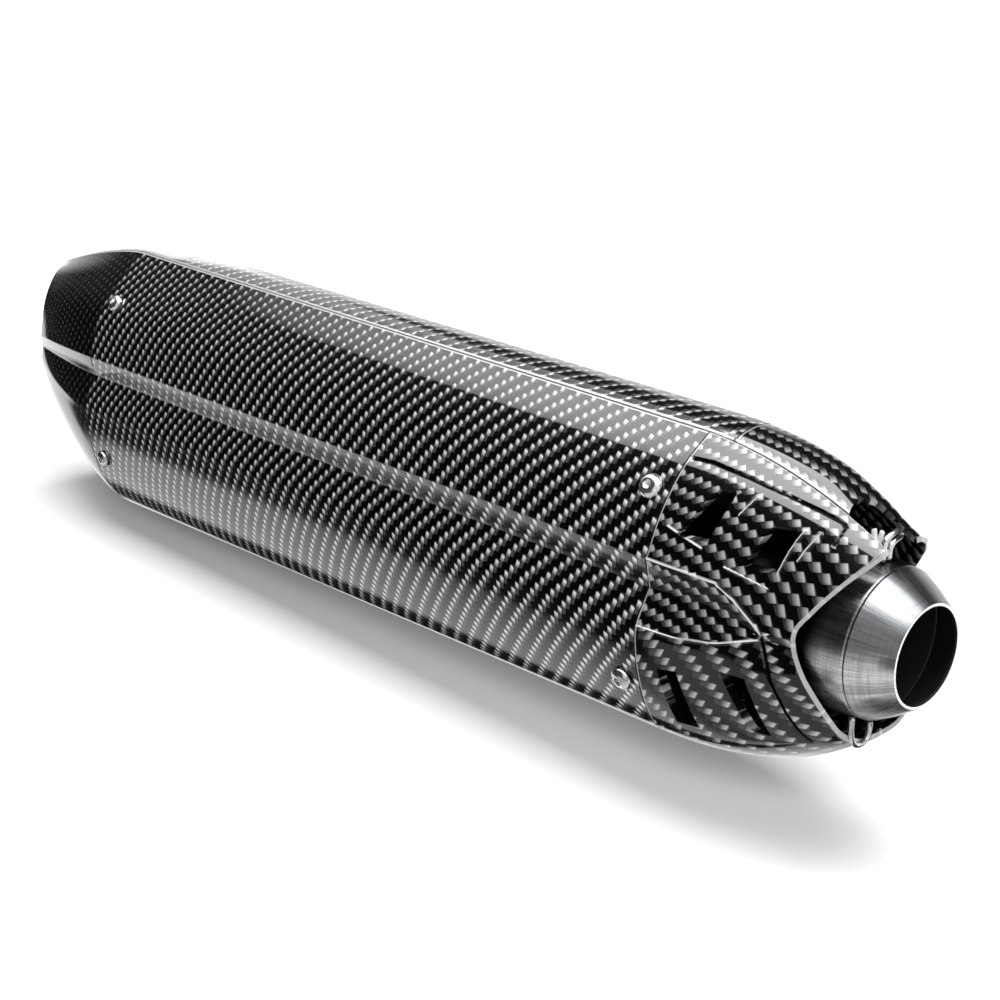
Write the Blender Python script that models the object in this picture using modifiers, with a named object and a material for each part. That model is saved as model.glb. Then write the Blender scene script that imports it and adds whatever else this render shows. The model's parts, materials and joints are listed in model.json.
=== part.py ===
"""Motorcycle exhaust muffler: carbon covers and caps around a packed steel can.

It is modelled around the inlet pipe's axis, with the muffler running away along -X and +Z up, and then
lowered so that the origin lies on the inlet tip's flat end ring, straight above that axis.
"""
import math

import bmesh
import bpy
from mathutils import Matrix, Vector

# ---- driving dimensions, metres -------------------------------------------------
GAP = 0.0003
LEANING_GAP = 0.00075
TIP_RADIUS = 0.019
TUBE_WALL = 0.0015
TIP_RING_RADIUS = TIP_RADIUS - 0.5 * TUBE_WALL
WELD_X = -0.0138
WELD_RADIUS = 0.0275
PIPE_END_RADIUS = 0.0300
PIPE_END_X = -0.0947
CAP_JOINT_NEAR_X = -0.0895
CAP_JOINT_FAR_X = -0.0790
OUTLET_JOINT_NEAR_X = -0.5210
OUTLET_JOINT_FAR_X = -0.4800
SECTION_REAR_X = -0.5210
OUTLET_END_X = -0.6320
MOUTH_FRONT_X = -0.0120
COVER_WALL = 0.0018
SEAM_NEAR_GAP = 0.0008
SEAM_FAR_GAP = 0.0005
SEAM_RISE = 0.0006

CAN_HALF_WIDTH = 0.0320
CAN_HALF_HEIGHT = 0.0460
CAN_WALL = 0.0012
CAN_FRONT_X = -0.0910
CAN_REAR_X = -0.5170
INLET_PLATE_X = -0.0950
OUTLET_PLATE_X = -0.5120
PLATE_THICKNESS = 0.0020
CORE_RADIUS = 0.0232
CORE_WALL = 0.0012
WRAP_THICKNESS = 0.0011
OUTLET_TUBE_RADIUS = 0.0240
OUTLET_TUBE_START_X = -0.5080
OUTLET_TUBE_END_X = -0.6180

FRAME_HALF_LENGTH = 0.0060
FRONT_FRAME_X = -0.0980
REAR_FRAME_X = -0.5080

SCREW_HEAD_RADIUS = 0.00475
SCREW_HEAD_HEIGHT = 0.0027
SCREW_SHANK_RADIUS = 0.0023
SCREW_LENGTH = 0.0085
INSERT_RADIUS = 0.0037
INSERT_BORE = 0.0026
INSERT_LENGTH = 0.0065
HEX_SOCKET_RADIUS = 0.0018

KILLER_TUBE_RADIUS = 0.0135
KILLER_FLANGE_X = -0.6000
KILLER_FLANGE_THICKNESS = 0.0030
KILLER_FRONT_X = -0.4700
KILLER_SCREW_RADIUS_POSITION = 0.0178
SEAT_RING_THICKNESS = 0.0050

HANGER_X = -0.2800
HANGER_Z = -0.0080
HANGER_FACE_Y = 0.0570
HANGER_PLATE_THICKNESS = 0.0050
HANGER_REACH = 0.0620

ROUND_STEPS = 24

# ---- cross sections --------------------------------------------------------------
# Each list holds (distance out from the mid plane, height) from the top seam down:
# the upper panel to the crease edge, then the lower panel from the crease valley to the keel.
INLET_UPPER = [(0.0100, 0.0603), (0.0240, 0.0500), (0.0350, 0.0350), (0.0416, 0.0195)]
INLET_LOWER = [
    (0.0394, 0.0080), (0.0456, -0.0040), (0.0460, -0.0130), (0.0440, -0.0245), (0.0400, -0.0365),
    (0.0340, -0.0475), (0.0250, -0.0545), (0.0120, -0.0597), (0.0, -0.0608),
]
REAR_UPPER = [(0.0100, 0.0770), (0.0250, 0.0625), (0.0390, 0.0455), (0.0474, 0.0210)]
REAR_LOWER = [
    (0.0453, 0.0100), (0.0523, -0.0035), (0.0528, -0.0120), (0.0516, -0.0290), (0.0475, -0.0455),
    (0.0415, -0.0580), (0.0320, -0.0680), (0.0160, -0.0765), (0.0, -0.0795),
]
MOUTH_UPPER = [(0.0093, 0.0366), (0.0150, 0.0325), (0.0200, 0.0245), (0.0255, 0.0100)]
MOUTH_LOWER = [
    (0.0255, 0.0090), (0.0256, 0.0040), (0.0255, -0.0030), (0.0248, -0.0100), (0.0230, -0.0170),
    (0.0200, -0.0240), (0.0160, -0.0280), (0.0100, -0.0312), (0.0, -0.0320),
]
OUTLET_UPPER = [(0.0070, 0.0588), (0.0168, 0.0500), (0.0243, 0.0348), (0.0289, 0.0134)]
OUTLET_LOWER = [
    (0.0282, 0.0070), (0.0295, 0.0), (0.0293, -0.0046), (0.0281, -0.0104), (0.0251, -0.0170),
    (0.0210, -0.0228), (0.0160, -0.0268), (0.0084, -0.0300), (0.0, -0.0310),
]
# Crease tracks on the inlet cap: (x, out, height).
CREASE_EDGE_TRACK = [
    (-0.0895, 0.0416, 0.0195), (-0.0740, 0.0404, 0.0190), (-0.0600, 0.0383, 0.0180),
    (-0.0530, 0.0368, 0.0135), (-0.0450, 0.0352, 0.0065), (-0.0420, 0.0347, 0.0038),
    (-0.0315, 0.0320, 0.0050), (-0.0120, 0.0255, 0.0060),
]
CREASE_VALLEY_TRACK = [
    (-0.0895, 0.0394, 0.0080), (-0.0740, 0.0378, 0.0085), (-0.0600, 0.0365, 0.0085),
    (-0.0530, 0.0355, 0.0065), (-0.0450, 0.0346, 0.0040), (-0.0420, 0.0346, 0.0030),
    (-0.0315, 0.0319, 0.0035), (-0.0120, 0.0255, 0.0040),
]
CREASE_FLARE_TRACK = [
    (-0.0895, 0.0456, -0.0050), (-0.0730, 0.0440, -0.0047), (-0.0570, 0.0408, -0.0025),
    (-0.0480, 0.0376, 0.0002), (-0.0420, 0.0348, 0.0020), (-0.0315, 0.0317, 0.0010),
    (-0.0120, 0.0253, 0.0),
]
# Inlet mouth edge seen from the side: (height, x), top to bottom.
MOUTH_EDGE = [
    (0.0450, -0.0100), (0.0366, -0.0120), (0.0254, -0.0200), (0.0163, -0.0265), (0.0067, -0.0315),
    (0.0030, -0.0315), (-0.0072, -0.0265), (-0.0188, -0.0210), (-0.0266, -0.0180),
    (-0.0320, -0.0165), (-0.0420, -0.0160),
]
# Rise of the far edge of the top panel above the seam: (x, rise).
CROWN_TRACK = [
    (-0.6320, 0.0), (-0.5210, 0.0), (-0.4800, 0.0018), (-0.4200, 0.0031), (-0.0890, 0.0031),
    (-0.0450, 0.0042), (-0.0270, 0.0022), (-0.0180, 0.0004), (-0.0120, 0.0),
]


def between(track, value):
    """Straight-line interpolation in a track whose first number rises or falls."""
    rows = sorted(track)
    if value <= rows[0][0]:
        return rows[0][1:]
    for low, high in zip(rows, rows[1:]):
        if value <= high[0]:
            t = (value - low[0]) / (high[0] - low[0])
            return tuple(a + (b - a) * t for a, b in zip(low[1:], high[1:]))
    return rows[-1][1:]


def mix(first, second, weight_out, weight_height):
    """Blend two lists of section points."""
    return [
        (a[0] + (b[0] - a[0]) * weight_out, a[1] + (b[1] - a[1]) * weight_height)
        for a, b in zip(first, second)
    ]


def section_controls(x):
    """Control points of the near half of the section at x."""
    if SECTION_REAR_X <= x <= CAP_JOINT_NEAR_X:
        t = (x - CAP_JOINT_NEAR_X) / (SECTION_REAR_X - CAP_JOINT_NEAR_X)
        return mix(INLET_UPPER, REAR_UPPER, t, t), mix(INLET_LOWER, REAR_LOWER, t, t)
    if x < SECTION_REAR_X:
        s = (x - SECTION_REAR_X) / (OUTLET_END_X - SECTION_REAR_X)
        w = bullet_weight(s)
        return mix(REAR_UPPER, OUTLET_UPPER, w, w), mix(REAR_LOWER, OUTLET_LOWER, w, w)
    s = (x - CAP_JOINT_NEAR_X) / (MOUTH_FRONT_X - CAP_JOINT_NEAR_X)
    out = 0.25 * s + 0.75 * s ** 2.2
    height = 0.25 * s + 0.75 * s ** 2.0
    keel = 0.15 * s + 0.85 * s ** 2.6
    upper = mix(INLET_UPPER, MOUTH_UPPER, out, height)
    lower = mix(INLET_LOWER, MOUTH_LOWER, out, keel)
    upper[3] = between(CREASE_EDGE_TRACK, x)
    lower[0] = between(CREASE_VALLEY_TRACK, x)
    lower[1] = between(CREASE_FLARE_TRACK, x)
    return upper, lower


def bullet_weight(s):
    """Rounded taper from 0 to 1, gentle first and steeper at the end."""
    steep = 0.6
    share = steep * s ** 0.69
    return (1.0 - math.sqrt(1.0 - share ** 2)) / (1.0 - math.sqrt(1.0 - steep ** 2))


def smooth(points, count):
    """Catmull-Rom curve through the points, count steps per span."""
    first = (2 * points[0][0] - points[1][0], 2 * points[0][1] - points[1][1])
    last = (2 * points[-1][0] - points[-2][0], 2 * points[-1][1] - points[-2][1])
    padded = [first] + list(points) + [last]
    curve = []
    for i in range(len(points) - 1):
        p0, p1, p2, p3 = padded[i:i + 4]
        for k in range(count):
            t = k / count
            curve.append(tuple(spline_value(p0[a], p1[a], p2[a], p3[a], t) for a in (0, 1)))
    curve.append(tuple(points[-1]))
    return curve


def spline_value(a, b, c, d, t):
    """One coordinate of a Catmull-Rom span."""
    linear = (c - a) * t
    square = (2 * a - 5 * b + 4 * c - d) * t * t
    cube = (3 * b - a - 3 * c + d) * t ** 3
    return 0.5 * (2 * b + linear + square + cube)


def crown_height(x):
    """Rise of the far edge of the top panel above the seam."""
    return between(CROWN_TRACK, x)[0]


def near_profile(x):
    """Near half, top seam to keel seam, as (y, z)."""
    upper, lower = section_controls(x)
    upper = [(upper[0][0] + SEAM_NEAR_GAP, upper[0][1])] + upper[1:]
    keel = lower[-2]
    lower = lower[:-2] + [(keel[0] + GAP, keel[1])]
    points = smooth(upper, 3) + smooth(lower, 2)
    return [(-out, height) for out, height in points]


def far_profile(x):
    """Top panel, far side and keel as (y, z), from the top seam round to the keel seam."""
    upper, lower = section_controls(x)
    rise = crown_height(x)
    seam_out, seam_height = upper[0]
    top = [(-seam_out + SEAM_FAR_GAP, seam_height + SEAM_RISE),
           (-0.5 * seam_out, seam_height + max(0.6 * rise, SEAM_RISE)),
           (0.2 * seam_out, seam_height + max(rise, SEAM_RISE))]
    side = [(seam_out, seam_height + 0.9 * rise)] + upper[1:]
    panel = smooth(top + [side[0]], 2)[:-1] + smooth(side, 3)
    keel = lower[-2]
    keel_points = smooth(lower, 2) + [(-0.5 * keel[0], 0.5 * (keel[1] + lower[-1][1]))]
    keel_points.append((-keel[0] + GAP, keel[1]))
    return panel + keel_points


def full_ring(x, inset):
    """Closed ring of (y, z) all round the section, moved inwards by inset."""
    far = far_profile(x)
    near = near_profile(x)
    ring = far + near[::-1][1:-1]
    return offset_ring(ring, inset)


def offset_ring(ring, inset):
    """Move each point of a closed ring inwards along its corner normal."""
    count = len(ring)
    moved = []
    for i in range(count):
        before, point, after = ring[i - 1], ring[i], ring[(i + 1) % count]
        direction = Vector((after[0] - before[0], after[1] - before[1]))
        if direction.length < 1e-9:
            moved.append(point)
            continue
        direction.normalize()
        inward = Vector((direction.y, -direction.x))
        if inward.dot(Vector(point)) > 0.0:
            inward.negate()
        moved.append((point[0] + inward.x * inset, point[1] + inward.y * inset))
    return moved


# ---- scene helpers ---------------------------------------------------------------
def clear_scene():
    for item in list(bpy.data.objects):
        bpy.data.objects.remove(item, do_unlink=True)


def new_collection(name):
    collection = bpy.data.collections.new(name)
    bpy.context.scene.collection.children.link(collection)
    return collection


clear_scene()
PARTS = new_collection("exhaust_muffler")
CUTTERS = new_collection("cutters")

FINISHES = {
    "carbon_black": ((0.022, 0.023, 0.026), 0.12, 0.0),
    "brushed_steel": ((0.58, 0.58, 0.60), 0.30, 1.0),
    "polished_steel": ((0.70, 0.70, 0.72), 0.16, 1.0),
    "dark_steel": ((0.10, 0.10, 0.11), 0.45, 0.9),
    "aluminium": ((0.60, 0.61, 0.63), 0.38, 1.0),
    "glass_wool": ((0.72, 0.66, 0.48), 0.95, 0.0),
    "steel_wool": ((0.36, 0.36, 0.37), 0.75, 0.8),
    "rubber": ((0.03, 0.03, 0.03), 0.80, 0.0),
}


def paint(item, finish):
    """Give the object its own Principled material."""
    colour, roughness, metallic = FINISHES[finish]
    material = bpy.data.materials.new(item.name + "_" + finish)
    material.use_nodes = True
    shader = material.node_tree.nodes["Principled BSDF"]
    shader.inputs["Base Color"].default_value = (*colour, 1.0)
    shader.inputs["Roughness"].default_value = roughness
    shader.inputs["Metallic"].default_value = metallic
    material.diffuse_color = (*colour, 1.0)
    item.data.materials.append(material)


def mesh_object(name, vertices, faces, finish=None):
    mesh = bpy.data.meshes.new(name)
    mesh.from_pydata([tuple(v) for v in vertices], [], faces)
    mesh.update()
    item = bpy.data.objects.new(name, mesh)
    if finish is None:
        CUTTERS.objects.link(item)
        item.hide_render = True
        item.display_type = "WIRE"
    else:
        PARTS.objects.link(item)
        paint(item, finish)
    return item


def shade(item, angle=35.0):
    """Smooth shading with sharp edges over the angle."""
    item.data.shade_smooth()
    item.data.set_sharp_from_angle(angle=math.radians(angle))


def cut(item, cutter):
    modifier = item.modifiers.new("cut_" + cutter.name, "BOOLEAN")
    modifier.operation = "DIFFERENCE"
    modifier.solver = "EXACT"
    modifier.object = cutter


def turned(name, profile, finish, steps=ROUND_STEPS, placing=None):
    """Body of revolution; the closed profile is (radius, along) and turns about local Z."""
    area = 0.0
    for (r0, z0), (r1, z1) in zip(profile, profile[1:] + profile[:1]):
        area += r0 * z1 - r1 * z0
    points = list(profile) if area < 0.0 else list(reversed(profile))
    count = len(points)
    on_axis = any(r < 1e-9 for r, z in points)
    if on_axis:
        start = next(i for i in range(count) if points[i][0] < 1e-9 and points[i - 1][0] < 1e-9)
        points = points[start:] + points[:start]
        edges = [(i, i + 1) for i in range(count - 1)]
    else:
        edges = [(i, (i + 1) % count) for i in range(count)]
    mesh = bpy.data.meshes.new(name)
    mesh.from_pydata([(r, 0.0, z) for r, z in points], edges, [])
    item = bpy.data.objects.new(name, mesh)
    if finish is None:
        CUTTERS.objects.link(item)
        item.hide_render = True
        item.display_type = "WIRE"
    else:
        PARTS.objects.link(item)
        paint(item, finish)
    screw = item.modifiers.new("turn", "SCREW")
    screw.axis = "Z"
    screw.angle = math.tau
    screw.steps = steps
    screw.render_steps = steps
    screw.use_merge_vertices = True
    screw.merge_threshold = 0.00001
    screw.use_smooth_shade = True
    if placing is not None:
        item.matrix_world = placing
    return item


def along_x(x=0.0, y=0.0, z=0.0):
    """Placing that turns local Z into world X."""
    return Matrix.Translation((x, y, z)) @ Matrix.Rotation(math.pi / 2, 4, "Y")


def along_y(x, y, z):
    """Placing that turns local Z into world +Y."""
    return Matrix.Translation((x, y, z)) @ Matrix.Rotation(-math.pi / 2, 4, "X")


def tube(name, x_front, x_rear, outer_front, outer_rear, wall, finish, steps=ROUND_STEPS):
    """Straight or conical tube about the X axis."""
    profile = [(outer_front, x_front), (outer_rear, x_rear),
               (outer_rear - wall, x_rear), (outer_front - wall, x_front)]
    return turned(name, profile, finish, steps, along_x())


def loop_body(name, rings, finish):
    """Closed body through rings of equal count; the last ring joins the first."""
    count = len(rings[0])
    vertices = [point for ring in rings for point in ring]
    total = len(rings)
    faces = []
    for i in range(total):
        low = i * count
        high = ((i + 1) % total) * count
        for j in range(count):
            k = (j + 1) % count
            faces.append((low + j, high + j, high + k, low + k))
    item = mesh_object(name, vertices, faces, finish)
    face_outwards(item)
    return item


def face_outwards(item):
    mesh = item.data
    work = bmesh.new()
    work.from_mesh(mesh)
    bmesh.ops.recalc_face_normals(work, faces=work.faces)
    if work.calc_volume(signed=True) < 0.0:
        bmesh.ops.reverse_faces(work, faces=work.faces)
    work.to_mesh(mesh)
    work.free()


def ellipse(half_width, half_height, x, count=32):
    ring = []
    for i in range(count):
        a = math.tau * i / count
        ring.append((x, half_width * math.cos(a), half_height * math.sin(a)))
    return ring


def matched_ellipse(ring, half_width, half_height, x):
    """Ellipse with one point for each point of the ring, at the same bearing."""
    points = []
    for y, z in ring:
        a = math.atan2(z / half_height, y / half_width)
        points.append((x, half_width * math.cos(a), half_height * math.sin(a)))
    return points


def skin(name, profile, start_of, end_of, stations, finish="carbon_black"):
    """Open lofted skin between two edges given as x per profile point, then thickened."""
    vertices = []
    steps = len(stations)
    count = len(profile(-0.3))
    for j in range(count):
        start, end = start_of(profile, j), end_of(profile, j)
        for share in stations:
            x = start + (end - start) * share
            y, z = profile(x)[j]
            vertices.append((x, y, z))
    faces = []
    for j in range(count - 1):
        for i in range(steps - 1):
            a = j * steps + i
            faces.append((a, a + 1, a + 1 + steps, a + steps))
    item = mesh_object(name, vertices, faces, finish)
    point_skin_out(item)
    wall = item.modifiers.new("wall", "SOLIDIFY")
    wall.thickness = COVER_WALL
    wall.offset = -1.0
    wall.use_even_offset = True
    shade(item, 30.0)
    return item


def point_skin_out(item):
    """Turn the skin's faces away from the muffler's middle line."""
    mesh = item.data
    inward = 0.0
    for face in mesh.polygons:
        radial = Vector((0.0, face.center.y, face.center.z))
        inward += face.normal.dot(radial) * face.area
    if inward < 0.0:
        mesh.flip_normals()


def fixed(x):
    """Edge at one x for every profile point."""
    return lambda profile, j: x


def mouth_edge(profile, j):
    """Edge x where profile line j meets the angled inlet mouth."""
    x = -0.02
    for _ in range(40):
        height = profile(x)[j][1]
        x = 0.5 * (x + between(MOUTH_EDGE, height)[0])
    return x


def even(count):
    return [i / (count - 1) for i in range(count)]


def extruded(name, outline, low, high, axis="Y", finish=None):
    """Straight solid: an (x, z) outline reaching along Y, or an (x, y) outline along Z."""
    count = len(outline)
    if axis == "Y":
        vertices = [(u, side, v) for side in (low, high) for u, v in outline]
    else:
        vertices = [(u, v, side) for side in (low, high) for u, v in outline]
    faces = [tuple(range(count)), tuple(range(2 * count - 1, count - 1, -1))]
    for i in range(count):
        k = (i + 1) % count
        faces.append((i, i + count, k + count, k))
    item = mesh_object(name, vertices, faces, finish)
    face_outwards(item)
    return item


# ---- steel inlet -----------------------------------------------------------------
def build_inlet():
    turned("inlet_reducer", [
        (TIP_RADIUS, 0.0), (WELD_RADIUS, WELD_X),
        (WELD_RADIUS - TUBE_WALL, WELD_X), (TIP_RADIUS - TUBE_WALL, 0.0),
    ], "brushed_steel", 40, along_x())
    start = WELD_X - GAP
    turned("inlet_pipe", [
        (WELD_RADIUS, start), (0.0288, -0.0300), (PIPE_END_RADIUS, PIPE_END_X),
        (PIPE_END_RADIUS - TUBE_WALL, PIPE_END_X),
        (0.0273, -0.0300), (WELD_RADIUS - TUBE_WALL, start),
    ], "brushed_steel", 40, along_x())


def wire(name, points, radius, finish="polished_steel"):
    """Round wire through the points, turned into a closed mesh."""
    curve = bpy.data.curves.new(name + "_line", "CURVE")
    curve.dimensions = "3D"
    curve.bevel_depth = radius
    curve.bevel_resolution = 2
    curve.use_fill_caps = True
    spline = curve.splines.new("POLY")
    spline.points.add(len(points) - 1)
    for point, place in zip(spline.points, points):
        point.co = (*place, 1.0)
    holder = bpy.data.objects.new(name + "_line", curve)
    PARTS.objects.link(holder)
    graph = bpy.context.evaluated_depsgraph_get()
    graph.update()
    mesh = bpy.data.meshes.new_from_object(holder.evaluated_get(graph))
    bpy.data.objects.remove(holder, do_unlink=True)
    work = bmesh.new()
    work.from_mesh(mesh)
    bmesh.ops.remove_doubles(work, verts=work.verts, dist=0.00001)
    work.to_mesh(mesh)
    work.free()
    mesh.materials.clear()
    item = bpy.data.objects.new(name, mesh)
    PARTS.objects.link(item)
    paint(item, finish)
    face_outwards(item)
    shade(item, 50.0)
    return item


def build_spring_hooks():
    radius = 0.0011
    x = -0.0194
    wire("top_spring_hook", [
        (x, 0.0022, 0.0290), (x, 0.0022, 0.0346), (x, 0.0030, 0.0358), (x, 0.0070, 0.0369),
        (x, 0.0082, 0.0366), (x, 0.0086, 0.0356), (x, 0.0080, 0.0346), (x, 0.0066, 0.0337),
        (x, 0.0060, 0.0326), (x, 0.0060, 0.0287),
    ], radius)
    y = -0.0040
    wire("bottom_spring_hook", [
        (-0.0146, y, -0.0288), (-0.0142, y, -0.0350), (-0.0148, y, -0.0380),
        (-0.0165, y, -0.0399), (-0.0195, y, -0.0404),
    ], radius)
    tab = extruded("top_spring_tab", [
        (-0.0256, 0.0292), (-0.0256, 0.0425), (-0.0248, 0.0432), (-0.0214, 0.0425), (-0.0208, 0.0415),
        (-0.0208, 0.0288),
    ], -0.0008, 0.0008, "Y", "polished_steel")
    shade(tab)


# ---- covers and caps -------------------------------------------------------------
def slot(name, corners, side):
    """Four-cornered slot cutter through one cap side."""
    if side < 0:
        return extruded(name, corners, -0.060, -0.008)
    return extruded(name, corners, 0.008, 0.060)


UPPER_SLOTS = [
    [(-0.0710, 0.0462), (-0.0640, 0.0462), (-0.0670, 0.0299), (-0.0800, 0.0295)],
    [(-0.0470, 0.0390), (-0.0370, 0.0391), (-0.0410, 0.0214), (-0.0540, 0.0215)],
]
LOWER_SLOTS = [
    [(-0.0800, -0.0191), (-0.0715, -0.0174), (-0.0660, -0.0400), (-0.0760, -0.0410)],
    [(-0.0540, -0.0121), (-0.0450, -0.0124), (-0.0385, -0.0343), (-0.0455, -0.0338)],
]

# Spring notch in the far cap seen from above: (x, y).
SPRING_NOTCH = [
    (0.0, -0.0120), (-0.0275, -0.0120), (-0.0296, -0.0070), (-0.0302, -0.0030), (-0.0294, 0.0010),
    (-0.0270, 0.0040), (-0.0230, 0.0056), (0.0, 0.0056),
]


def build_skins():
    skin("near_side_cover", near_profile, fixed(CAP_JOINT_NEAR_X - GAP),
         fixed(OUTLET_JOINT_NEAR_X + LEANING_GAP), even(2))
    skin("far_side_cover", far_profile, fixed(CAP_JOINT_FAR_X - GAP),
         fixed(OUTLET_JOINT_FAR_X + LEANING_GAP), [0.0, 0.026, 1.0])
    near_cap = skin("inlet_cap_near", near_profile, fixed(CAP_JOINT_NEAR_X), mouth_edge, even(8))
    far_cap = skin("inlet_cap_far", far_profile, fixed(CAP_JOINT_FAR_X), mouth_edge, even(8))
    rounded = [0.0, 0.22, 0.42, 0.60, 0.75, 0.87, 0.95, 1.0]
    skin("outlet_cap_near", near_profile, fixed(OUTLET_JOINT_NEAR_X), fixed(OUTLET_END_X), rounded)
    skin("outlet_cap_far", far_profile, fixed(OUTLET_JOINT_FAR_X), fixed(OUTLET_END_X),
         [0.0, 0.27, 0.43, 0.57, 0.70, 0.81, 0.90, 0.96, 1.0])
    for i, corners in enumerate(UPPER_SLOTS + LOWER_SLOTS):
        cut(near_cap, slot("near_slot_%d" % i, corners, -1))
    for i, corners in enumerate(UPPER_SLOTS[:1] + LOWER_SLOTS):
        cut(far_cap, slot("far_slot_%d" % i, corners, 1))
    notch = extruded("spring_notch", SPRING_NOTCH, 0.028, 0.060, "Z")
    cut(far_cap, notch)


# ---- cover screws ----------------------------------------------------------------
# name, x, height on the side of the cover
SCREW_SITES = [
    ("inlet_upper", FRONT_FRAME_X, 0.0418), ("inlet_lower", FRONT_FRAME_X, -0.0296),
    ("outlet_upper", REAR_FRAME_X, 0.0515), ("outlet_lower", REAR_FRAME_X, -0.0359),
]


def surface_at(x, height):
    """Point and outward normal on the near side at x and height."""
    points = near_profile(x)
    for (y0, z0), (y1, z1) in zip(points, points[1:]):
        if z1 <= height <= z0:
            t = (height - z0) / (z1 - z0)
            place = Vector((x, y0 + (y1 - y0) * t, height))
            normal = Vector((0.0, z1 - z0, -(y1 - y0)))
            normal.normalize()
            if normal.y > 0.0:
                normal.negate()
            return place, normal
    return Vector((x, points[0][0], height)), Vector((0.0, 0.0, 1.0))


def aligned(place, direction):
    """Placing whose local Z follows the direction."""
    turn = direction.to_track_quat("Z", "Y").to_matrix().to_4x4()
    return Matrix.Translation(place) @ turn


def build_cover_screws():
    frames = {FRONT_FRAME_X: bpy.data.objects["front_support_frame"],
              REAR_FRAME_X: bpy.data.objects["rear_support_frame"]}
    for side, side_name in ((1.0, "near"), (-1.0, "far")):
        cover = bpy.data.objects[side_name + "_side_cover"]
        for label, x, height in SCREW_SITES:
            place, normal = surface_at(x, height)
            place.y *= side
            normal.y *= side
            placing = aligned(place, normal)
            tag = side_name + "_" + label
            if side < 0 and x == REAR_FRAME_X:
                cover = bpy.data.objects["outlet_cap_far"]
            elif side < 0:
                cover = bpy.data.objects["far_side_cover"]
            cover_screw(tag + "_screw", placing)
            hole = turned(tag + "_hole", [(0.0, -0.0026), (0.0029, -0.0026), (0.0029, 0.004), (0.0, 0.004)],
                          None, 12, placing)
            cut(cover, hole)
            top = -COVER_WALL - 2 * GAP
            turned(tag + "_insert", [
                (INSERT_RADIUS, top), (INSERT_RADIUS, top - INSERT_LENGTH),
                (INSERT_BORE, top - INSERT_LENGTH), (INSERT_BORE, top),
            ], "aluminium", 12, placing)
            pocket_radius = INSERT_RADIUS + GAP
            pocket = turned(tag + "_pocket", [
                (0.0, 0.002), (pocket_radius, 0.002), (pocket_radius, -0.0105), (0.0, -0.0105),
            ], None, 12, placing)
            cut(frames[x], pocket)


def cover_screw(name, placing):
    """Button-head screw with a hexagon socket, head base just above the local origin."""
    base = GAP
    profile = [(0.0, base + SCREW_HEAD_HEIGHT), (0.0024, base + SCREW_HEAD_HEIGHT),
               (0.0038, base + 0.0020), (SCREW_HEAD_RADIUS, base + 0.0007), (SCREW_HEAD_RADIUS, base),
               (SCREW_SHANK_RADIUS, base), (SCREW_SHANK_RADIUS, -SCREW_LENGTH), (0.0, -SCREW_LENGTH)]
    screw = turned(name, profile, "polished_steel", 14, placing)
    socket = turned(name + "_socket", [
        (0.0, base + 0.0010), (HEX_SOCKET_RADIUS, base + 0.0010),
        (HEX_SOCKET_RADIUS, base + 0.0050), (0.0, base + 0.0050),
    ], None, 6, placing)
    cut(screw, socket)


# ---- frames, can and packing -----------------------------------------------------
def build_frames():
    inset = COVER_WALL + GAP + SEAM_RISE
    for name, middle in (("front_support_frame", FRONT_FRAME_X), ("rear_support_frame", REAR_FRAME_X)):
        front = middle + FRAME_HALF_LENGTH
        rear = middle - FRAME_HALF_LENGTH
        outer_front = full_ring(front, inset)
        outer_rear = full_ring(rear, inset)
        hole_width = CAN_HALF_WIDTH + GAP
        hole_height = CAN_HALF_HEIGHT + GAP
        rings = [
            [(front, y, z) for y, z in outer_front],
            [(rear, y, z) for y, z in outer_rear],
            matched_ellipse(outer_rear, hole_width, hole_height, rear),
            matched_ellipse(outer_front, hole_width, hole_height, front),
        ]
        frame = loop_body(name, rings, "aluminium")
        shade(frame)


def oval_tube(name, x_front, x_rear, outer, inner, finish):
    """Oval tube; outer and inner are (half width, half height)."""
    item = loop_body(name, [
        ellipse(*outer, x_front), ellipse(*outer, x_rear),
        ellipse(*inner, x_rear), ellipse(*inner, x_front),
    ], finish)
    shade(item)
    return item


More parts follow.
